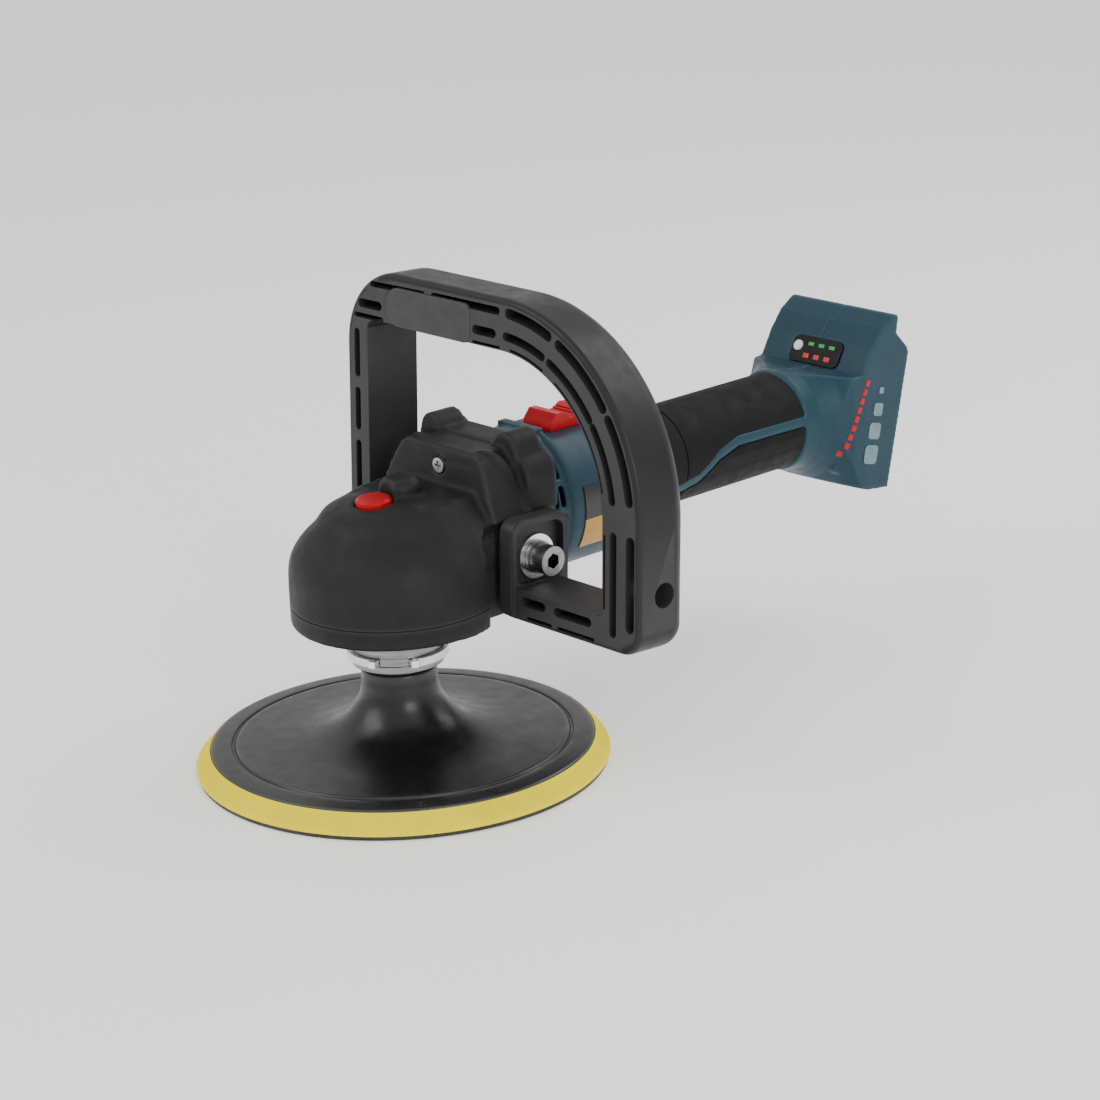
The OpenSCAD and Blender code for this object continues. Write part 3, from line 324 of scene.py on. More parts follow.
# rings about the spindle, cells or bands laid over the mottled colour
def patternOver(tree, look, stretch, colour):
    link = tree.links.new
    if look["pattern"] == "cells":
        drawn = finishNode(tree, "ShaderNodeTexVoronoi", Scale=look["patternScale"])
        value = drawn.outputs["Distance"]
    else:
        drawn = finishNode(tree, "ShaderNodeTexWave", Scale=look["patternScale"], Distortion=0.4)
        drawn.wave_type = "RINGS" if look["pattern"] == "rings" else "BANDS"
        drawn.rings_direction = "Z"
        drawn.bands_direction = look.get("along", "Z")
        value = drawn.outputs["Fac"]
    link(stretch.outputs["Vector"], drawn.inputs["Vector"])
    limits = finishNode(tree, "ShaderNodeMapRange")
    limits.inputs["To Max"].default_value = look.get("patternShare", 0.5)
    link(value, limits.inputs["Value"])
    over = finishNode(tree, "ShaderNodeMix", data_type="RGBA")
    over.inputs[7].default_value = (*look["patternColour"], 1)
    link(limits.outputs["Result"], over.inputs[0])
    link(colour, over.inputs[6])
    return over.outputs[2]


looks = {
    "hook_black": dict(dark=(0.012, 0.012, 0.013), light=(0.035, 0.035, 0.037), rough=(0.8, 0.95),
                       cells=True, grainScale=1100, grainStrength=0.7, grainDepth=0.4,
                       pattern="cells", patternScale=1100, patternColour=(0.07, 0.07, 0.075), sheen=0.2),
    "foam_yellow": dict(dark=(0.88, 0.66, 0.0), light=(1.0, 0.82, 0.002), rough=(0.75, 0.95), cells=True,
                        cloudScale=45, grainScale=900, grainStrength=0.35, grainDepth=0.35, pattern="cells",
                        patternScale=900, patternColour=(1.0, 0.88, 0.02), patternShare=0.35, sheen=0.02,
                        edge=(1.0, 0.88, 0.02), specular=0.12),
    "disc_black": dict(dark=(0.003, 0.003, 0.0035), light=(0.006, 0.006, 0.007), rough=(0.26, 0.38),
                       cloudScale=30, grainScale=420, grainStrength=0.12, grainDepth=0.08,
                       edge=(0.05, 0.05, 0.055), pattern="rings", patternScale=260,
                       patternColour=(0.009, 0.009, 0.01), patternShare=0.25, coat=0.05, coatRough=0.16),
    "steel_bright": dict(dark=(0.5, 0.5, 0.52), light=(0.68, 0.68, 0.7), rough=(0.2, 0.36), metal=1,
                         grainScale=900, grainStrength=0.15, grainDepth=0.04, stretch=(1, 1, 6)),
    "steel_dark": dict(dark=(0.16, 0.16, 0.17), light=(0.3, 0.3, 0.32), rough=(0.3, 0.5), metal=1,
                       grainScale=700, grainStrength=0.2, grainDepth=0.05),
    "collar_metal": dict(dark=(0.2, 0.2, 0.21), light=(0.36, 0.36, 0.37), rough=(0.26, 0.4), metal=1,
                         grainScale=500, grainStrength=0.25, grainDepth=0.05, stretch=(1, 1, 9),
                         pattern="bands", along="Z", patternScale=420, patternColour=(0.46, 0.46, 0.47),
                         patternShare=0.3),
    "clip_metal": dict(dark=(0.3, 0.3, 0.31), light=(0.5, 0.5, 0.51), rough=(0.22, 0.36), metal=1,
                       grainScale=800, grainStrength=0.15, grainDepth=0.04, edge=(0.95, 0.95, 0.95)),
    "screw_steel": dict(dark=(0.25, 0.25, 0.27), light=(0.45, 0.45, 0.47), rough=(0.28, 0.45), metal=1,
                        grainScale=900, grainStrength=0.2, grainDepth=0.04, edge=(0.65, 0.65, 0.66)),
    "case_cast": dict(dark=(0.03, 0.03, 0.032), light=(0.07, 0.07, 0.073), rough=(0.5, 0.7), metal=0.7,
                      cells=True, grainScale=900, grainStrength=0.35, grainDepth=0.15),
    "boot_rubber": dict(dark=(0.0125, 0.0128, 0.0135), light=(0.021, 0.0214, 0.0222),
                        rough=(0.46, 0.6), cloudScale=24, grainScale=1500, grainStrength=0.3,
                        grainDepth=0.08, edge=(0.05, 0.05, 0.052), edgeAt=0.6, specular=0.18),
    "red_plastic": dict(dark=(0.36, 0.0, 0.003), light=(0.48, 0.0, 0.006), rough=(0.32, 0.44), cloudScale=80,
                        grainScale=1300, grainStrength=0.15, grainDepth=0.05, edge=(0.55, 0.004, 0.01),
                        specular=0.25),
    "core_steel": dict(dark=(0.08, 0.08, 0.085), light=(0.17, 0.17, 0.18), rough=(0.4, 0.6), metal=0.8,
                       grainScale=600, grainStrength=0.3, grainDepth=0.08, pattern="bands", along="Y",
                       patternScale=700, patternColour=(0.25, 0.25, 0.26)),
    "inner_plastic": dict(dark=(0.014, 0.014, 0.016), light=(0.03, 0.03, 0.032), rough=(0.45, 0.6),
                          grainScale=1200, grainStrength=0.2, grainDepth=0.05, edge=(0.08, 0.08, 0.085)),
    "coil_copper": dict(dark=(0.42, 0.14, 0.04), light=(0.66, 0.28, 0.09), rough=(0.25, 0.4), metal=0.9,
                        grainScale=900, grainStrength=0.2, grainDepth=0.05, pattern="bands", along="Y",
                        patternScale=900, patternColour=(0.25, 0.07, 0.02)),
    "board_green": dict(dark=(0.008, 0.06, 0.025), light=(0.015, 0.1, 0.045), rough=(0.25, 0.4),
                        grainScale=500, grainStrength=0.1, grainDepth=0.03, pattern="cells", patternScale=500,
                        patternColour=(0.03, 0.17, 0.08)),
    "teal_plastic": dict(dark=(0.006, 0.034, 0.052), light=(0.0095, 0.048, 0.07), rough=(0.36, 0.48),
                         cloudScale=18, grainScale=1400, grainStrength=0.22, grainDepth=0.06,
                         edge=(0.02, 0.09, 0.12), edgeAt=0.6, specular=0.3),
    "grip_rubber": dict(dark=(0.003, 0.003, 0.0033), light=(0.006, 0.006, 0.0065), rough=(0.55, 0.72),
                        cloudScale=40, cells=True, grainScale=1300, grainStrength=0.4, grainDepth=0.12,
                        edge=(0.014, 0.014, 0.015), specular=0.12),
    "label_black": dict(dark=(0.005, 0.003, 0.003), light=(0.01, 0.005, 0.005), rough=(0.24, 0.34),
                        grainScale=800, grainStrength=0.08, grainDepth=0.03, coat=0.2),
    "label_gold": dict(dark=(0.4, 0.2, 0.01), light=(0.55, 0.3, 0.02), rough=(0.24, 0.36),
                       grainScale=800, grainStrength=0.08, grainDepth=0.03, pattern="bands", along="Z",
                       patternScale=160, patternColour=(0.6, 0.36, 0.04), patternShare=0.4, coat=0.2),
    "panel_black": dict(dark=(0.004, 0.002, 0.002), light=(0.008, 0.004, 0.004), rough=(0.2, 0.3),
                        grainScale=600, grainStrength=0.05, grainDepth=0.02, coat=0.05, specular=0.25),
    "lamp_green": dict(dark=(0.012, 0.2, 0.05), light=(0.03, 0.36, 0.1), rough=(0.2, 0.3), cloudScale=400,
                       grainScale=1500, grainStrength=0.1, grainDepth=0.02, glow=0.25),
    "lamp_red": dict(dark=(0.32, 0.016, 0.02), light=(0.52, 0.04, 0.045), rough=(0.2, 0.3), cloudScale=400,
                     grainScale=1500, grainStrength=0.1, grainDepth=0.02, glow=0.25),
    "button_white": dict(dark=(0.74, 0.76, 0.78), light=(0.86, 0.87, 0.88), rough=(0.3, 0.42), cloudScale=300,
                         grainScale=1500, grainStrength=0.1, grainDepth=0.02),
    "brass_blades": dict(dark=(0.6, 0.42, 0.14), light=(0.78, 0.6, 0.26), rough=(0.2, 0.34), metal=1,
                         grainScale=900, grainStrength=0.15, grainDepth=0.03),
    "mark_grey": dict(dark=(0.13, 0.2, 0.24), light=(0.19, 0.28, 0.33), rough=(0.4, 0.5), cloudScale=200,
                      grainScale=1400, grainStrength=0.15, grainDepth=0.04),
    "handle_plastic": dict(dark=(0.0055, 0.0057, 0.0062), light=(0.0095, 0.0098, 0.0105), rough=(0.34, 0.47),
                           cloudScale=22, grainScale=1500, grainStrength=0.25, grainDepth=0.07,
                           edge=(0.035, 0.035, 0.037), edgeAt=0.6, specular=0.26),
    "handle_insert": dict(dark=(0.008, 0.008, 0.0085), light=(0.0135, 0.0135, 0.014),
                          rough=(0.6, 0.75), cells=True, grainScale=1600, grainStrength=0.4,
                          grainDepth=0.1, edge=(0.07, 0.07, 0.07)),
    "bolt_dark": dict(dark=(0.05, 0.05, 0.053), light=(0.12, 0.12, 0.125), rough=(0.25, 0.4), metal=1,
                      grainScale=900, grainStrength=0.2, grainDepth=0.04, edge=(0.3, 0.3, 0.31)),
    "washer_bright": dict(dark=(0.34, 0.34, 0.35), light=(0.55, 0.55, 0.56), rough=(0.16, 0.28), metal=1,
                          grainScale=800, grainStrength=0.15, grainDepth=0.04, edge=(0.95, 0.95, 0.95)),
}

finishes = {name: finish(name, look) for name, look in looks.items()}
slotOf = {part["node"]: part["material_slot"] for part in frame["record"]["subparts"]}
for nodeName, cadNode in cadNodes.items():
    cadNode.data.materials.clear()
    cadNode.data.materials.append(finishes[slotOf[nodeName]])
print("finishes ready:", len(finishes))


def dress(piece, slotName, body, *replaced):
    piece.data.materials.clear()
    piece.data.materials.append(finishes[slotName])
    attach(piece, body)
    if replaced:
        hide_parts(*replaced)
    return piece


# pad: foam, disc and hub

pad = dict(foamR=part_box("foam_pad")[1].x / mm, foamFoot=1.52, discR=83.3, rimZ=10.6, rimThick=2,
           hubR=16.5, hubTop=43.5, boreR=12, boreZ=15.5, grooveR=73.4, grooveRound=0.9, turns=180)


def foamProfile():
    foamR = pad["foamR"]
    discR = pad["discR"]
    under = pad["rimZ"] - pad["rimThick"]
    side = flowing([
        (foamR - 1.2, pad["foamFoot"]), (foamR - 0.3, 1.8), (foamR, 2.6), (foamR - 0.4, 3.8),
        (foamR - 2.6, 6.2), (discR + 1.4, 9.0), (discR + 0.6, 10.0), (discR + 0.15, 9.6)], 4)
    return [(0, pad["foamFoot"])] + side + [(discR + 0.1, under), (0, under)]


# rim, groove ring, dish and hub, then down the bore
def discProfile():
    discR = pad["discR"]
    rimZ = pad["rimZ"]
    grooveR = pad["grooveR"]
    hubR = pad["hubR"]
    hubTop = pad["hubTop"]
    boreR = pad["boreR"]
    under = rimZ - pad["rimThick"]
    rim = [(0, under), (discR, under), (discR, rimZ - 0.5), (discR - 0.3, rimZ - 0.1)]
    top = flowing([(discR - 0.9, rimZ + 0.15), (grooveR + 2.6, rimZ + 0.75), (grooveR + 1.1, rimZ + 0.7)], 3)
    groove = arc(grooveR, rimZ + 0.75, pad["grooveRound"], 0, -180, 6)
    dish = flowing([
        (grooveR - 1.3, rimZ + 1.05), (60, rimZ + 1.7), (48, rimZ + 2.6), (38, rimZ + 4.3),
        (30, rimZ + 7.2), (24.5, rimZ + 11.2), (20.5, rimZ + 16), (18, rimZ + 20.4),
        (hubR + 0.3, rimZ + 25), (hubR, rimZ + 29)], 6)
    hub = [(hubR, hubTop - 1), (hubR - 0.3, hubTop - 0.3), (hubR - 1, hubTop), (boreR + 0.5, hubTop),
           (boreR, hubTop - 0.5), (boreR, pad["boreZ"]), (0, pad["boreZ"])]
    return rim + top + groove + dish + hub


def buildPad():
    foam = turnedPiece("pad_foam", foamProfile(), pad["turns"])
    smoothEdges(foam, 50)
    dress(foam, "foam_yellow", "spindle_unit", "foam_pad")
    disc = turnedPiece("backing_disc_turned", discProfile(), pad["turns"])
    smoothEdges(disc, 40)
    dress(disc, "disc_black", "spindle_unit", "backing_disc")
    print("pad done")


buildPad()


# rubber boot: one soft skin, with a bead down each side of its raised block

boot = dict(voxel=1.05, rounds=5, beadR=2.1,
            beadPath=[(19, 34, 134), (25.5, 38, 132.4), (28.4, 41.5, 127.5), (30.6, 43.2, 121),
                      (34.4, 44, 113.5), (37, 44.5, 108)],
            lineZ=73.8, lineWidth=0.5, lineDepth=0.45,
            noseY=14, noseZ=(82, 121), noseIn=22, noseRounds=40)


def beadAlong(name, points, radius):
    clearSelection()
    bpy.ops.curve.primitive_nurbs_path_add()
    path = bpy.context.object
    path.name = name
    path.data.splines.clear()
    spline = path.data.splines.new("BEZIER")
    spline.bezier_points.add(len(points) - 1)
    for knot, point in zip(spline.bezier_points, points):
        knot.co = Vector(point) * mm
        knot.handle_left_type = "AUTO"
        knot.handle_right_type = "AUTO"
    path.data.dimensions = "3D"
    path.data.bevel_depth = radius * mm
    path.data.bevel_resolution = 4
    path.data.use_fill_caps = True
    onlySelect(path)
    bpy.ops.object.convert(target="MESH")
    return cleanUp(settle(bpy.context.object))


# the nose flows from its wall into its top without ripples
def softenNose(skin):
    onlySelect(skin)
    bpy.ops.object.mode_set(mode="EDIT")
    bpy.ops.mesh.select_mode(type="VERT")
    bpy.ops.mesh.select_all(action="DESELECT")
    bpy.ops.object.mode_set(mode="OBJECT")
    low, high = (z * mm for z in boot["noseZ"])
    for vertex in skin.data.vertices:
        at = vertex.co
        ahead = at.y < boot["noseY"] * mm
        outside = at.xy.length > boot["noseIn"] * mm
        vertex.select = ahead and outside and low < at.z < high
    bpy.ops.object.mode_set(mode="EDIT")
    bpy.ops.mesh.vertices_smooth(factor=0.5, repeat=boot["noseRounds"])
    bpy.ops.object.mode_set(mode="OBJECT")


def buildBoot():
    skin = copyOf("rubber_boot", "boot_skin")
    beads = []
    for side in (-1, 1):
        path = [(side * x, y, z) for x, y, z in boot["beadPath"]]
        beads.append(beadAlong("bead", path, boot["beadR"]))
    joinInto(skin, beads)
    mouldedCopy(skin, boot["voxel"], boot["rounds"])
    softenNose(skin)
    noseR = -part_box("rubber_boot")[0].y / mm
    inner = noseR - boot["lineDepth"]
    low = boot["lineZ"]
    high = low + boot["lineWidth"]
    outer = noseR + 2
    groove = turnedPiece("parting_line", [(inner, low), (outer, low), (outer, high), (inner, high)], 120)
    cutWith(skin, groove)
    smoothEdges(skin, 50)
    dress(skin, "boot_rubber", "housing", "rubber_boot")
    print("boot done:", len(skin.data.polygons))


buildBoot()


# motor housing, grip and foot: two moulded shells

shells = dict(voxel=0.8, rounds=4, slideTravel=7, slideGap=0.45, sideGap=0.3, headRoom=5, deckZ=130.05)
shellOf = {}


# clears the deck for the slide's whole travel
def slideRoom():
    low, high = (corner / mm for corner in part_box("switch_slide"))
    front = low.y - shells["slideTravel"] - shells["slideGap"]
    gap = shells["sideGap"]
    return roundedBox("slide_room", (low.x - gap, front, shells["deckZ"]),
                      (high.x + gap, high.y, high.z + shells["headRoom"]), 0.4, 2, 2)


def buildShells():
    for side in ("left", "right"):
        shell = copyOf("housing_" + side, "shell_" + side)
        mouldedCopy(shell, shells["voxel"], shells["rounds"])
        cutWith(shell, slideRoom())
        shellOf[side] = shell
        dress(shell, "teal_plastic", "housing", "housing_" + side)
        print("shell", side, len(shell.data.polygons))


buildShells()


# loop handle: x across, w up from the bolt axis, leaning back a little

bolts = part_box("handle_bolts")
boltMiddle = (bolts[0] + bolts[1]) / 2 / mm
handle = dict(lean=3, boltY=boltMiddle.y, boltZ=boltMiddle.z, depth=28, bendX=36, bendW=28,
              bendOut=84.5, bendIn=62.2, farOut=-65.5, farIn=-51, farR=34, farInnerR=5, armTop=-11.5,
              armBottom=-25.2, armInnerR=3, footR=11, plateX=45.5, plateFloor=42, seat=38.15,
              plateHalf=16.5, plateTop=18.2, plateCorner=6, plateEdge=0.8, pocketWall=3.2,
              pocketLow=-10.5, pocketHigh=15.1, rearRound=8.5, rearInner=3, frontRound=2.2,
              frontInner=1.4, slotDeep=11, boltR=4.06, keyHoleR=5.4, farSeat=52, farPocketR=10.6,
              bossR=15, eyeR=17, eyeRound=2, edgeBreak=0.45)
insert = dict(left=-30, right=16.6, w=98.2, half=8.6, corner=4, seat=1.5, thick=1.4, proud=0.5, edge=0.9)


def placeHandlePart(obj):
    obj.rotation_euler = (-math.radians(handle["lean"]), 0, 0)
    obj.location = (0, handle["boltY"] * mm, handle["boltZ"] * mm)
    return settle(obj)


def loopOutline():
    h = handle
    right = h["bendX"] + h["bendOut"]
    innerRight = h["bendX"] + h["bendIn"]
    top = h["bendW"] + h["bendOut"]
    innerTop = h["bendW"] + h["bendIn"]
    outer = [(h["seat"] + 2, h["armBottom"])]
    outer += arc(right - h["footR"], h["armBottom"] + h["footR"], h["footR"], -90, 0, 8)
    outer += arc(h["bendX"], h["bendW"], h["bendOut"], 0, 90, 36)
    outer += arc(h["farOut"] + h["farR"], top - h["farR"], h["farR"], 90, 180, 18)
    outer += [(h["farOut"], 0)]
    inner = [(h["farIn"], 0)]
    farR = h["farInnerR"]
    armR = h["armInnerR"]
    inner += arc(h["farIn"] + farR, innerTop - farR, farR, 180, 90, 6)
    inner += arc(h["bendX"], h["bendW"], h["bendIn"], 90, 0, 32)
    inner += arc(innerRight - armR, h["armTop"] + armR, armR, 0, -90, 4)
    inner += [(h["seat"] + 2, h["armTop"])]
    return outer, inner


# round-ended slot from a to b
def slotPoints(a, b, width):
    angle = math.degrees(math.atan2(b[1] - a[1], b[0] - a[0]))
    length = math.dist(a, b)
    shrink = width / 2 / length
    start = [a[i] + (b[i] - a[i]) * shrink for i in (0, 1)]
    end = [b[i] + (a[i] - b[i]) * shrink for i in (0, 1)]
    farEnd = arc(*end, width / 2, angle - 90, angle + 90, 6)
    nearEnd = arc(*start, width / 2, angle + 90, angle + 270, 6)
    return farEnd + nearEnd


# round-ended slot that follows the bend from angle a0 to a1
def bendSlotPoints(radius, a0, a1, width):
    cx, cw = handle["bendX"], handle["bendW"]
    steps = max(4, int((a1 - a0) / 2.5))
    end = (cx + radius * math.cos(math.radians(a1)), cw + radius * math.sin(math.radians(a1)))
    start = (cx + radius * math.cos(math.radians(a0)), cw + radius * math.sin(math.radians(a0)))
    points = arc(cx, cw, radius + width / 2, a0, a1, steps)
    points += arc(*end, width / 2, a1, a1 + 180, 6)[1:-1]
    points += arc(cx, cw, radius - width / 2, a1, a0, steps)
    points += arc(*start, width / 2, a0 + 180, a0 + 360, 6)[1:-1]
    return points


def handleSlots():
    h = handle
    out = h["bendOut"]
    right = h["bendX"] + out
    top = h["bendW"] + out
    shapes = []
    for a0, a1 in ((68, 86), (38, 63), (9, 34)):
        shapes.append(bendSlotPoints(out - 5.8, a0, a1, 4.6))
        shapes.append(bendSlotPoints(out - 15.8, a0, a1 + 1, 3.8))
    shapes.append(bendSlotPoints(out - 21, 66, 84, 1.2))
    shapes.append(bendSlotPoints(out - 21, 12, 58, 0.9))
    straight = [
        ((right - 5.8, 26), (right - 5.8, -15), 5), ((right - 15.8, 26), (right - 15.8, -19), 4),
        ((right - 21, 24), (right - 21, -8), 1.2),
        ((49, -15.7), (64, -15.7), 4), ((69, -15.7), (92, -15.7), 4),
        ((52, -22.6), (68, -22.6), 1.6), ((71, -22.6), (94, -22.6), 1.6),
        ((-49, top - 6.4), (-12, top - 5.8), 2.6), ((-8, top - 5.8), (36, top - 5.8), 3.4),
        ((-57, top - 15.8), (-41, top - 15.8), 4), ((18.5, top - 15.8), (33.5, top - 15.8), 4),
        ((-60, top - 21.4), (-40, top - 21.4), 2.2), ((18.5, top - 21.2), (36, top - 21.2), 1.2)]
    for w0, w1 in ((63, 85), (39, 58.5), (7, 34.5)):
        straight.append(((-58.3, w0), (-58.3, w1), 3.6))
    shapes += [slotPoints(*one) for one in straight]
    return shapes


def insertOutline(inset):
    w = insert["w"]
    half = insert["half"] - inset
    corner = insert["corner"] - inset
    right = insert["right"] - inset
    left = arc(insert["left"], w, half, 90, 270, 14)
    lower = arc(right - corner, w - half + corner, corner, -90, 0, 5)
    upper = arc(right - corner, w + half - corner, corner, 0, 90, 5)
    return left + lower + upper


def cylinderAlongX(name, radius, x0, x1):
    clearSelection()
    bpy.ops.mesh.primitive_cylinder_add(
        vertices=64, radius=radius * mm, depth=abs(x1 - x0) * mm,
        location=((x0 + x1) / 2 * mm, 0, 0), rotation=(0, math.pi / 2, 0))
    obj = bpy.context.object
    obj.name = name
    return settle(obj)


# the bar itself, rounded most along its outer rear edge
def buildBar():
    h = handle
    half = h["depth"] / 2
    outer, inner = loopOutline()
    loop = outlineSolid("loop_handle_moulded", outer + inner, -half, half)
    outerKeys = {(round(x, 2), round(z, 2)) for x, z in outer}
    face = half * mm - 1e-6

    def isOuter(v):
        return (round(v.x / mm, 2), round(v.z / mm, 2)) in outerKeys

    def rearEdge(a, b):
        return a.y > face and b.y > face

    def frontEdge(a, b):
        return a.y < -face and b.y < -face

    def outerEdge(a, b):
        return isOuter(a) and isOuter(b)

    def innerEdge(a, b):
        return not isOuter(a) and not isOuter(b)

    bevelEdges(loop, lambda a, b: rearEdge(a, b) and outerEdge(a, b), h["rearRound"] * mm, 7)
    bevelEdges(loop, lambda a, b: rearEdge(a, b) and innerEdge(a, b), h["rearInner"] * mm, 4)
    bevelEdges(loop, lambda a, b: frontEdge(a, b) and outerEdge(a, b), h["frontRound"] * mm, 3)
    bevelEdges(loop, lambda a, b: frontEdge(a, b) and innerEdge(a, b), h["frontInner"] * mm, 2)
    return loop


# near plate, far boss and the eye round the far bolt
def addHandleEnds(loop):
    h = handle
    plate = roundedBox("plate", (h["seat"], -h["plateHalf"], h["armBottom"]),
                       (h["plateX"], h["plateHalf"], h["plateTop"]), h["plateCorner"], 0)
    plateFace = h["plateX"] * mm - 1e-6
    bevelEdges(plate, lambda a, b: a.x > plateFace and b.x > plateFace, h["plateEdge"] * mm, 2)
    cutWith(loop, plate, "UNION")
    cutWith(loop, cylinderAlongX("boss", h["bossR"], -h["seat"], h["farIn"] - 2), "UNION")
    eye = cylinderAlongX("eye", h["eyeR"], h["farIn"] + 0.9, h["farOut"] + 0.02)
    eyeFace = h["farOut"] * mm + 5e-5
    bevelEdges(eye, lambda a, b: a.x < eyeFace and b.x < eyeFace, h["eyeRound"] * mm, 3)
    cutWith(loop, eye, "UNION")


def cutHandleOpenings(loop):
    h = handle
    half = h["depth"] / 2
    front = -half - 5
    cutters = [outlineSolid("slot", points, front, -half + h["slotDeep"]) for points in handleSlots()]
    cutters.append(outlineSolid("seat_of_insert", insertOutline(-0.1), front, -half + insert["seat"]))
    cutWith(loop, joinInto(cutters[0], cutters[1:]), overlapping=True)
    pocketHalf = h["plateHalf"] - h["pocketWall"]
    cutWith(loop, roundedBox("pocket", (h["plateFloor"], -pocketHalf, h["pocketLow"]),
                             (60, pocketHalf, h["pocketHigh"]), 5, 0))
    cutWith(loop, cylinderAlongX("hole", h["boltR"], 30, 60))
    cutWith(loop, cylinderAlongX("key_hole", h["keyHoleR"], 80, 140))
    cutWith(loop, cylinderAlongX("far_hole", h["boltR"], -80, -30))
    cutWith(loop, cylinderAlongX("far_pocket", h["farPocketR"], -80, -h["farSeat"]))


def buildHandle():
    loop = buildBar()
    addHandleEnds(loop)
    cutHandleOpenings(loop)
    placeHandlePart(loop)
    cleanUp(loop, 0.00002)
    applyModifier(loop, "BEVEL", width=handle["edgeBreak"] * mm, segments=2, limit_method="ANGLE",
                  angle_limit=math.radians(50), use_clamp_overlap=True)
    smoothEdges(loop, 32)
    applyModifier(loop, "WEIGHTED_NORMAL", keep_sharp=True)
    dress(loop, "handle_plastic", "loop", "loop_handle")
    print("handle done:", len(loop.data.polygons))


def buildInsert():
    half = handle["depth"] / 2
    front = -half - insert["proud"]
    piece = outlineSolid("handle_insert_pad", insertOutline(0.05), front, -half + insert["thick"])
    face = front * mm + 1e-6
    bevelEdges(piece, lambda a, b: a.y < face and b.y < face, insert["edge"] * mm, 3)
    placeHandlePart(piece)
    smoothEdges(piece, 50)
    dress(piece, "handle_insert", "loop", "handle_pad")


buildHandle()
buildInsert()


# machined and small moulded pieces: piece name, edge rounding and body of each

edged = {
    "bearing_collar": ("collar_turned", 0.5, "housing"), "collar_clip": ("clip_bent", 0.35, "housing"),
    "boot_screw": ("boot_screw_head", 0.25, "housing"), "handle_bolts": ("handle_bolt_set", 0.45, "housing"),
    "flat_washers": ("flat_washer_set", 0.35, "housing"),
    "spring_washers": ("spring_washer_set", 0.3, "housing"),
    "lock_button": ("lock_button_cap", 0.6, "lock"), "switch_slide": ("slide_cap", 0.7, "slide"),
    "indicator_panel": ("indicator_window", 0.3, "housing"),
    "speed_button": ("speed_button_cap", 0.4, "mode_button"),
    "green_lamps": ("green_lamp_set", 0.3, "housing"), "red_lamps": ("red_lamp_set", 0.3, "housing"),
    "grip_rubber_upper": ("grip_skin_upper", 0.4, "housing"),
    "grip_rubber_lower": ("grip_skin_lower", 0.4, "housing"),
    "label_dark": ("label_upper", 0.15, "housing"), "label_gold": ("label_lower", 0.15, "housing"),
    "side_marks": ("side_mark_set", 0.12, "housing"),
}


def buildEdgedPieces():
    for nodeName, (pieceName, width, body) in edged.items():
        piece = roundedCopy(nodeName, pieceName, width)
        dress(piece, slotOf[nodeName], body, nodeName)
    print("edged pieces:", len(edged))


buildEdgedPieces()


# plain red bars along each side of the foot, each one laid flat on the shell under it

bars = dict(count=9, start=(265.2, 118.2), end=(250.6, 86), reach=100, long=3.0, wide=2.6, thick=0.56)


def layBar(shell, side, y, z, along):
    outside = (side * bars["reach"] * mm, y * mm, z * mm)
    found, place, normal, _ = shell.ray_cast(outside, (-side, 0, 0))
    if not found:
        return None
    length = (along - normal * along.dot(normal)).normalized()
    turn = Matrix((normal, length.cross(normal), length)).transposed()
    clearSelection()
    bpy.ops.mesh.primitive_cube_add(size=1)
    bar = bpy.context.object
    bar.scale = (bars["thick"] * mm, bars["wide"] * mm, bars["long"] * mm)
    settle(bar)
    bar.matrix_world = Matrix.Translation(place) @ turn.to_4x4()
    return settle(bar)


def buildBars():
    made = []
    start = Vector((0, *bars["start"]))
    end = Vector((0, *bars["end"]))
    for side, shell in ((1, shellOf["left"]), (-1, shellOf["right"])):
        for i in range(bars["count"]):
            at = start.lerp(end, i / (bars["count"] - 1))
            bar = layBar(shell, side, at.y, at.z, (start - end).normalized())
            if bar:
                made.append(bar)
    strip = joinInto(made[0], made[1:])
    strip.name = "side_bars"
    applyModifier(strip, "BEVEL", width=0.2 * mm, segments=2)
    smoothEdges(strip)
    dress(strip, "red_plastic", "housing")
    print("side bars done:", len(made))


buildBars()


# floor, light and camera

stage = dict(floorSize=6, floorTone=0.95, floorGlow=0.3, world=0.85)
lamps = dict(  # place, aim, size, power
    key_light=((-0.5, -0.9, 0.95), (0.0, 0.05, 0.08), 0.7, 5),
    side_light=((1.15, -0.25, 0.6), (0.03, 0.08, 0.1), 0.45, 4),
    rear_light=((0.25, 1.0, 1.0), (0.0, 0.1, 0.1), 0.8, 6),
)


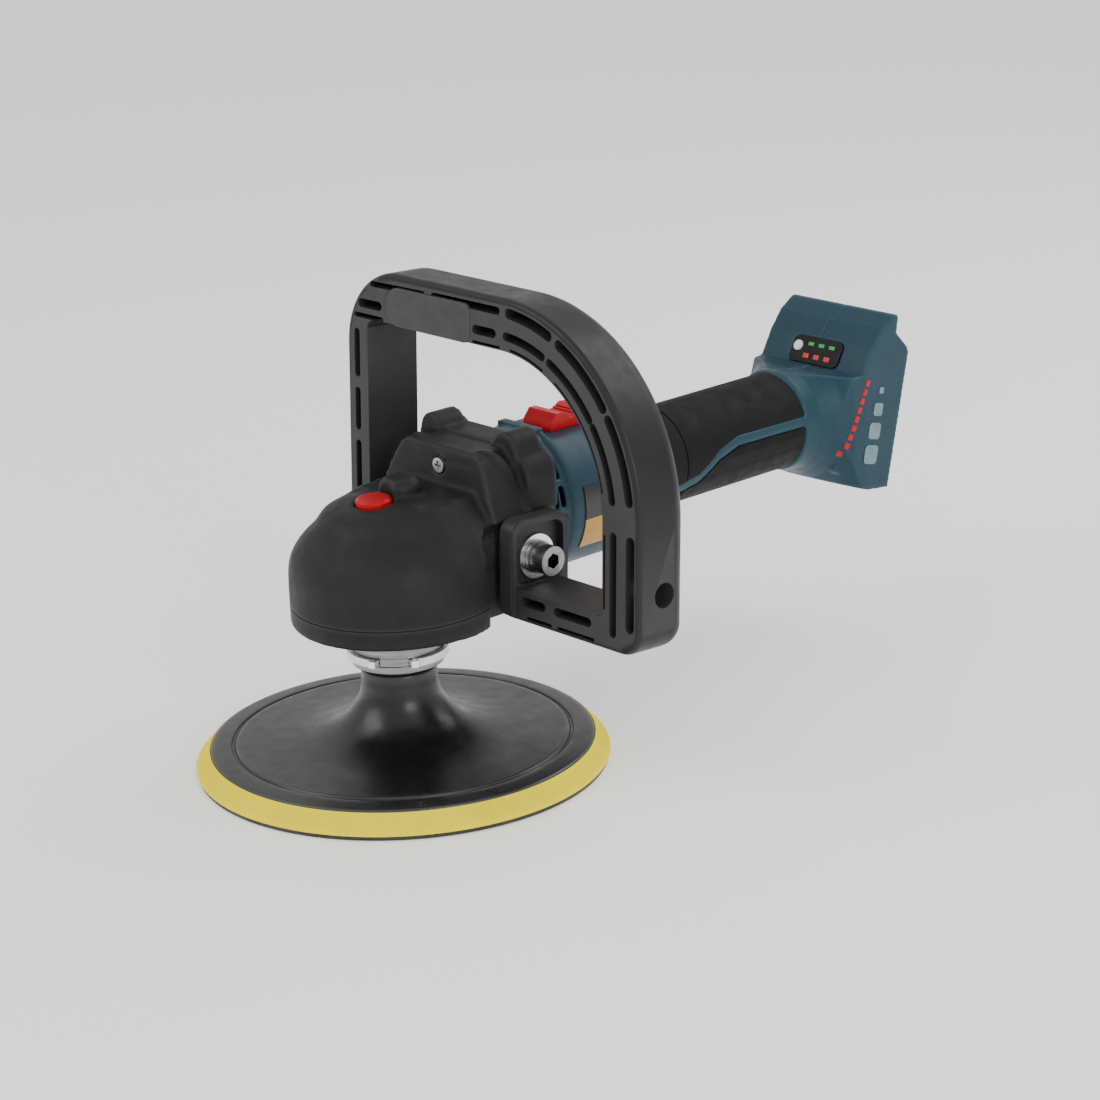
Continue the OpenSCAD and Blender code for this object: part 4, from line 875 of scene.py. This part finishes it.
def buildStage():
    clearSelection()
    bpy.ops.mesh.primitive_plane_add(size=stage["floorSize"], location=(0, 0, -0.0003))
    floor = bpy.context.object
    floor.name = "floor"
    paper = bpy.data.materials.new("paper")
    paper.use_nodes = True
    shader = paper.node_tree.nodes["Principled BSDF"]
    tone = stage["floorTone"]
    shader.inputs["Base Color"].default_value = (tone, tone, tone, 1)
    shader.inputs["Roughness"].default_value = 0.9
    shader.inputs["Emission Color"].default_value = (1, 1, 1, 1)
    shader.inputs["Emission Strength"].default_value = stage["floorGlow"]
    floor.data.materials.append(paper)

    world = bpy.data.worlds.new("studio")
    world.use_nodes = True
    back = world.node_tree.nodes["Background"]
    back.inputs["Color"].default_value = (1, 1, 1, 1)
    back.inputs["Strength"].default_value = stage["world"]
    bpy.context.scene.world = world

    for name, (place, aim, size, power) in lamps.items():
        light = bpy.data.lights.new(name, "AREA")
        light.size = size
        light.energy = power
        lamp = bpy.data.objects.new(name, light)
        lamp.location = place
        lamp.rotation_euler = (Vector(aim) - Vector(place)).to_track_quat("-Z", "Y").to_euler()
        bpy.context.scene.collection.objects.link(lamp)


view = dict(azimuth=48.17, elevation=18.3, roll=-2.32, lens=99.66, right=0.06346, up=0.09037, back=1.32602)


def buildCamera():
    a = math.radians(view["azimuth"])
    e = math.radians(view["elevation"])
    r = math.radians(view["roll"])
    across = Vector((math.cos(a), math.sin(a), 0))
    back = Vector((math.sin(a) * math.cos(e), -math.cos(a) * math.cos(e), math.sin(e)))
    up = back.cross(across)
    right = across * math.cos(r) + up * math.sin(r)
    upright = up * math.cos(r) - across * math.sin(r)
    place = right * view["right"] + upright * view["up"] + back * view["back"]
    lensData = bpy.data.cameras.new("camera")
    lensData.lens = view["lens"]
    lensData.sensor_width = 36
    lensData.clip_end = 20
    camera = bpy.data.objects.new("camera", lensData)
    turn = Matrix((right, upright, back)).transposed()
    camera.matrix_world = Matrix.Translation(place) @ turn.to_4x4()
    bpy.context.scene.collection.objects.link(camera)
    bpy.context.scene.camera = camera


buildStage()
buildCamera()
print("stage done")
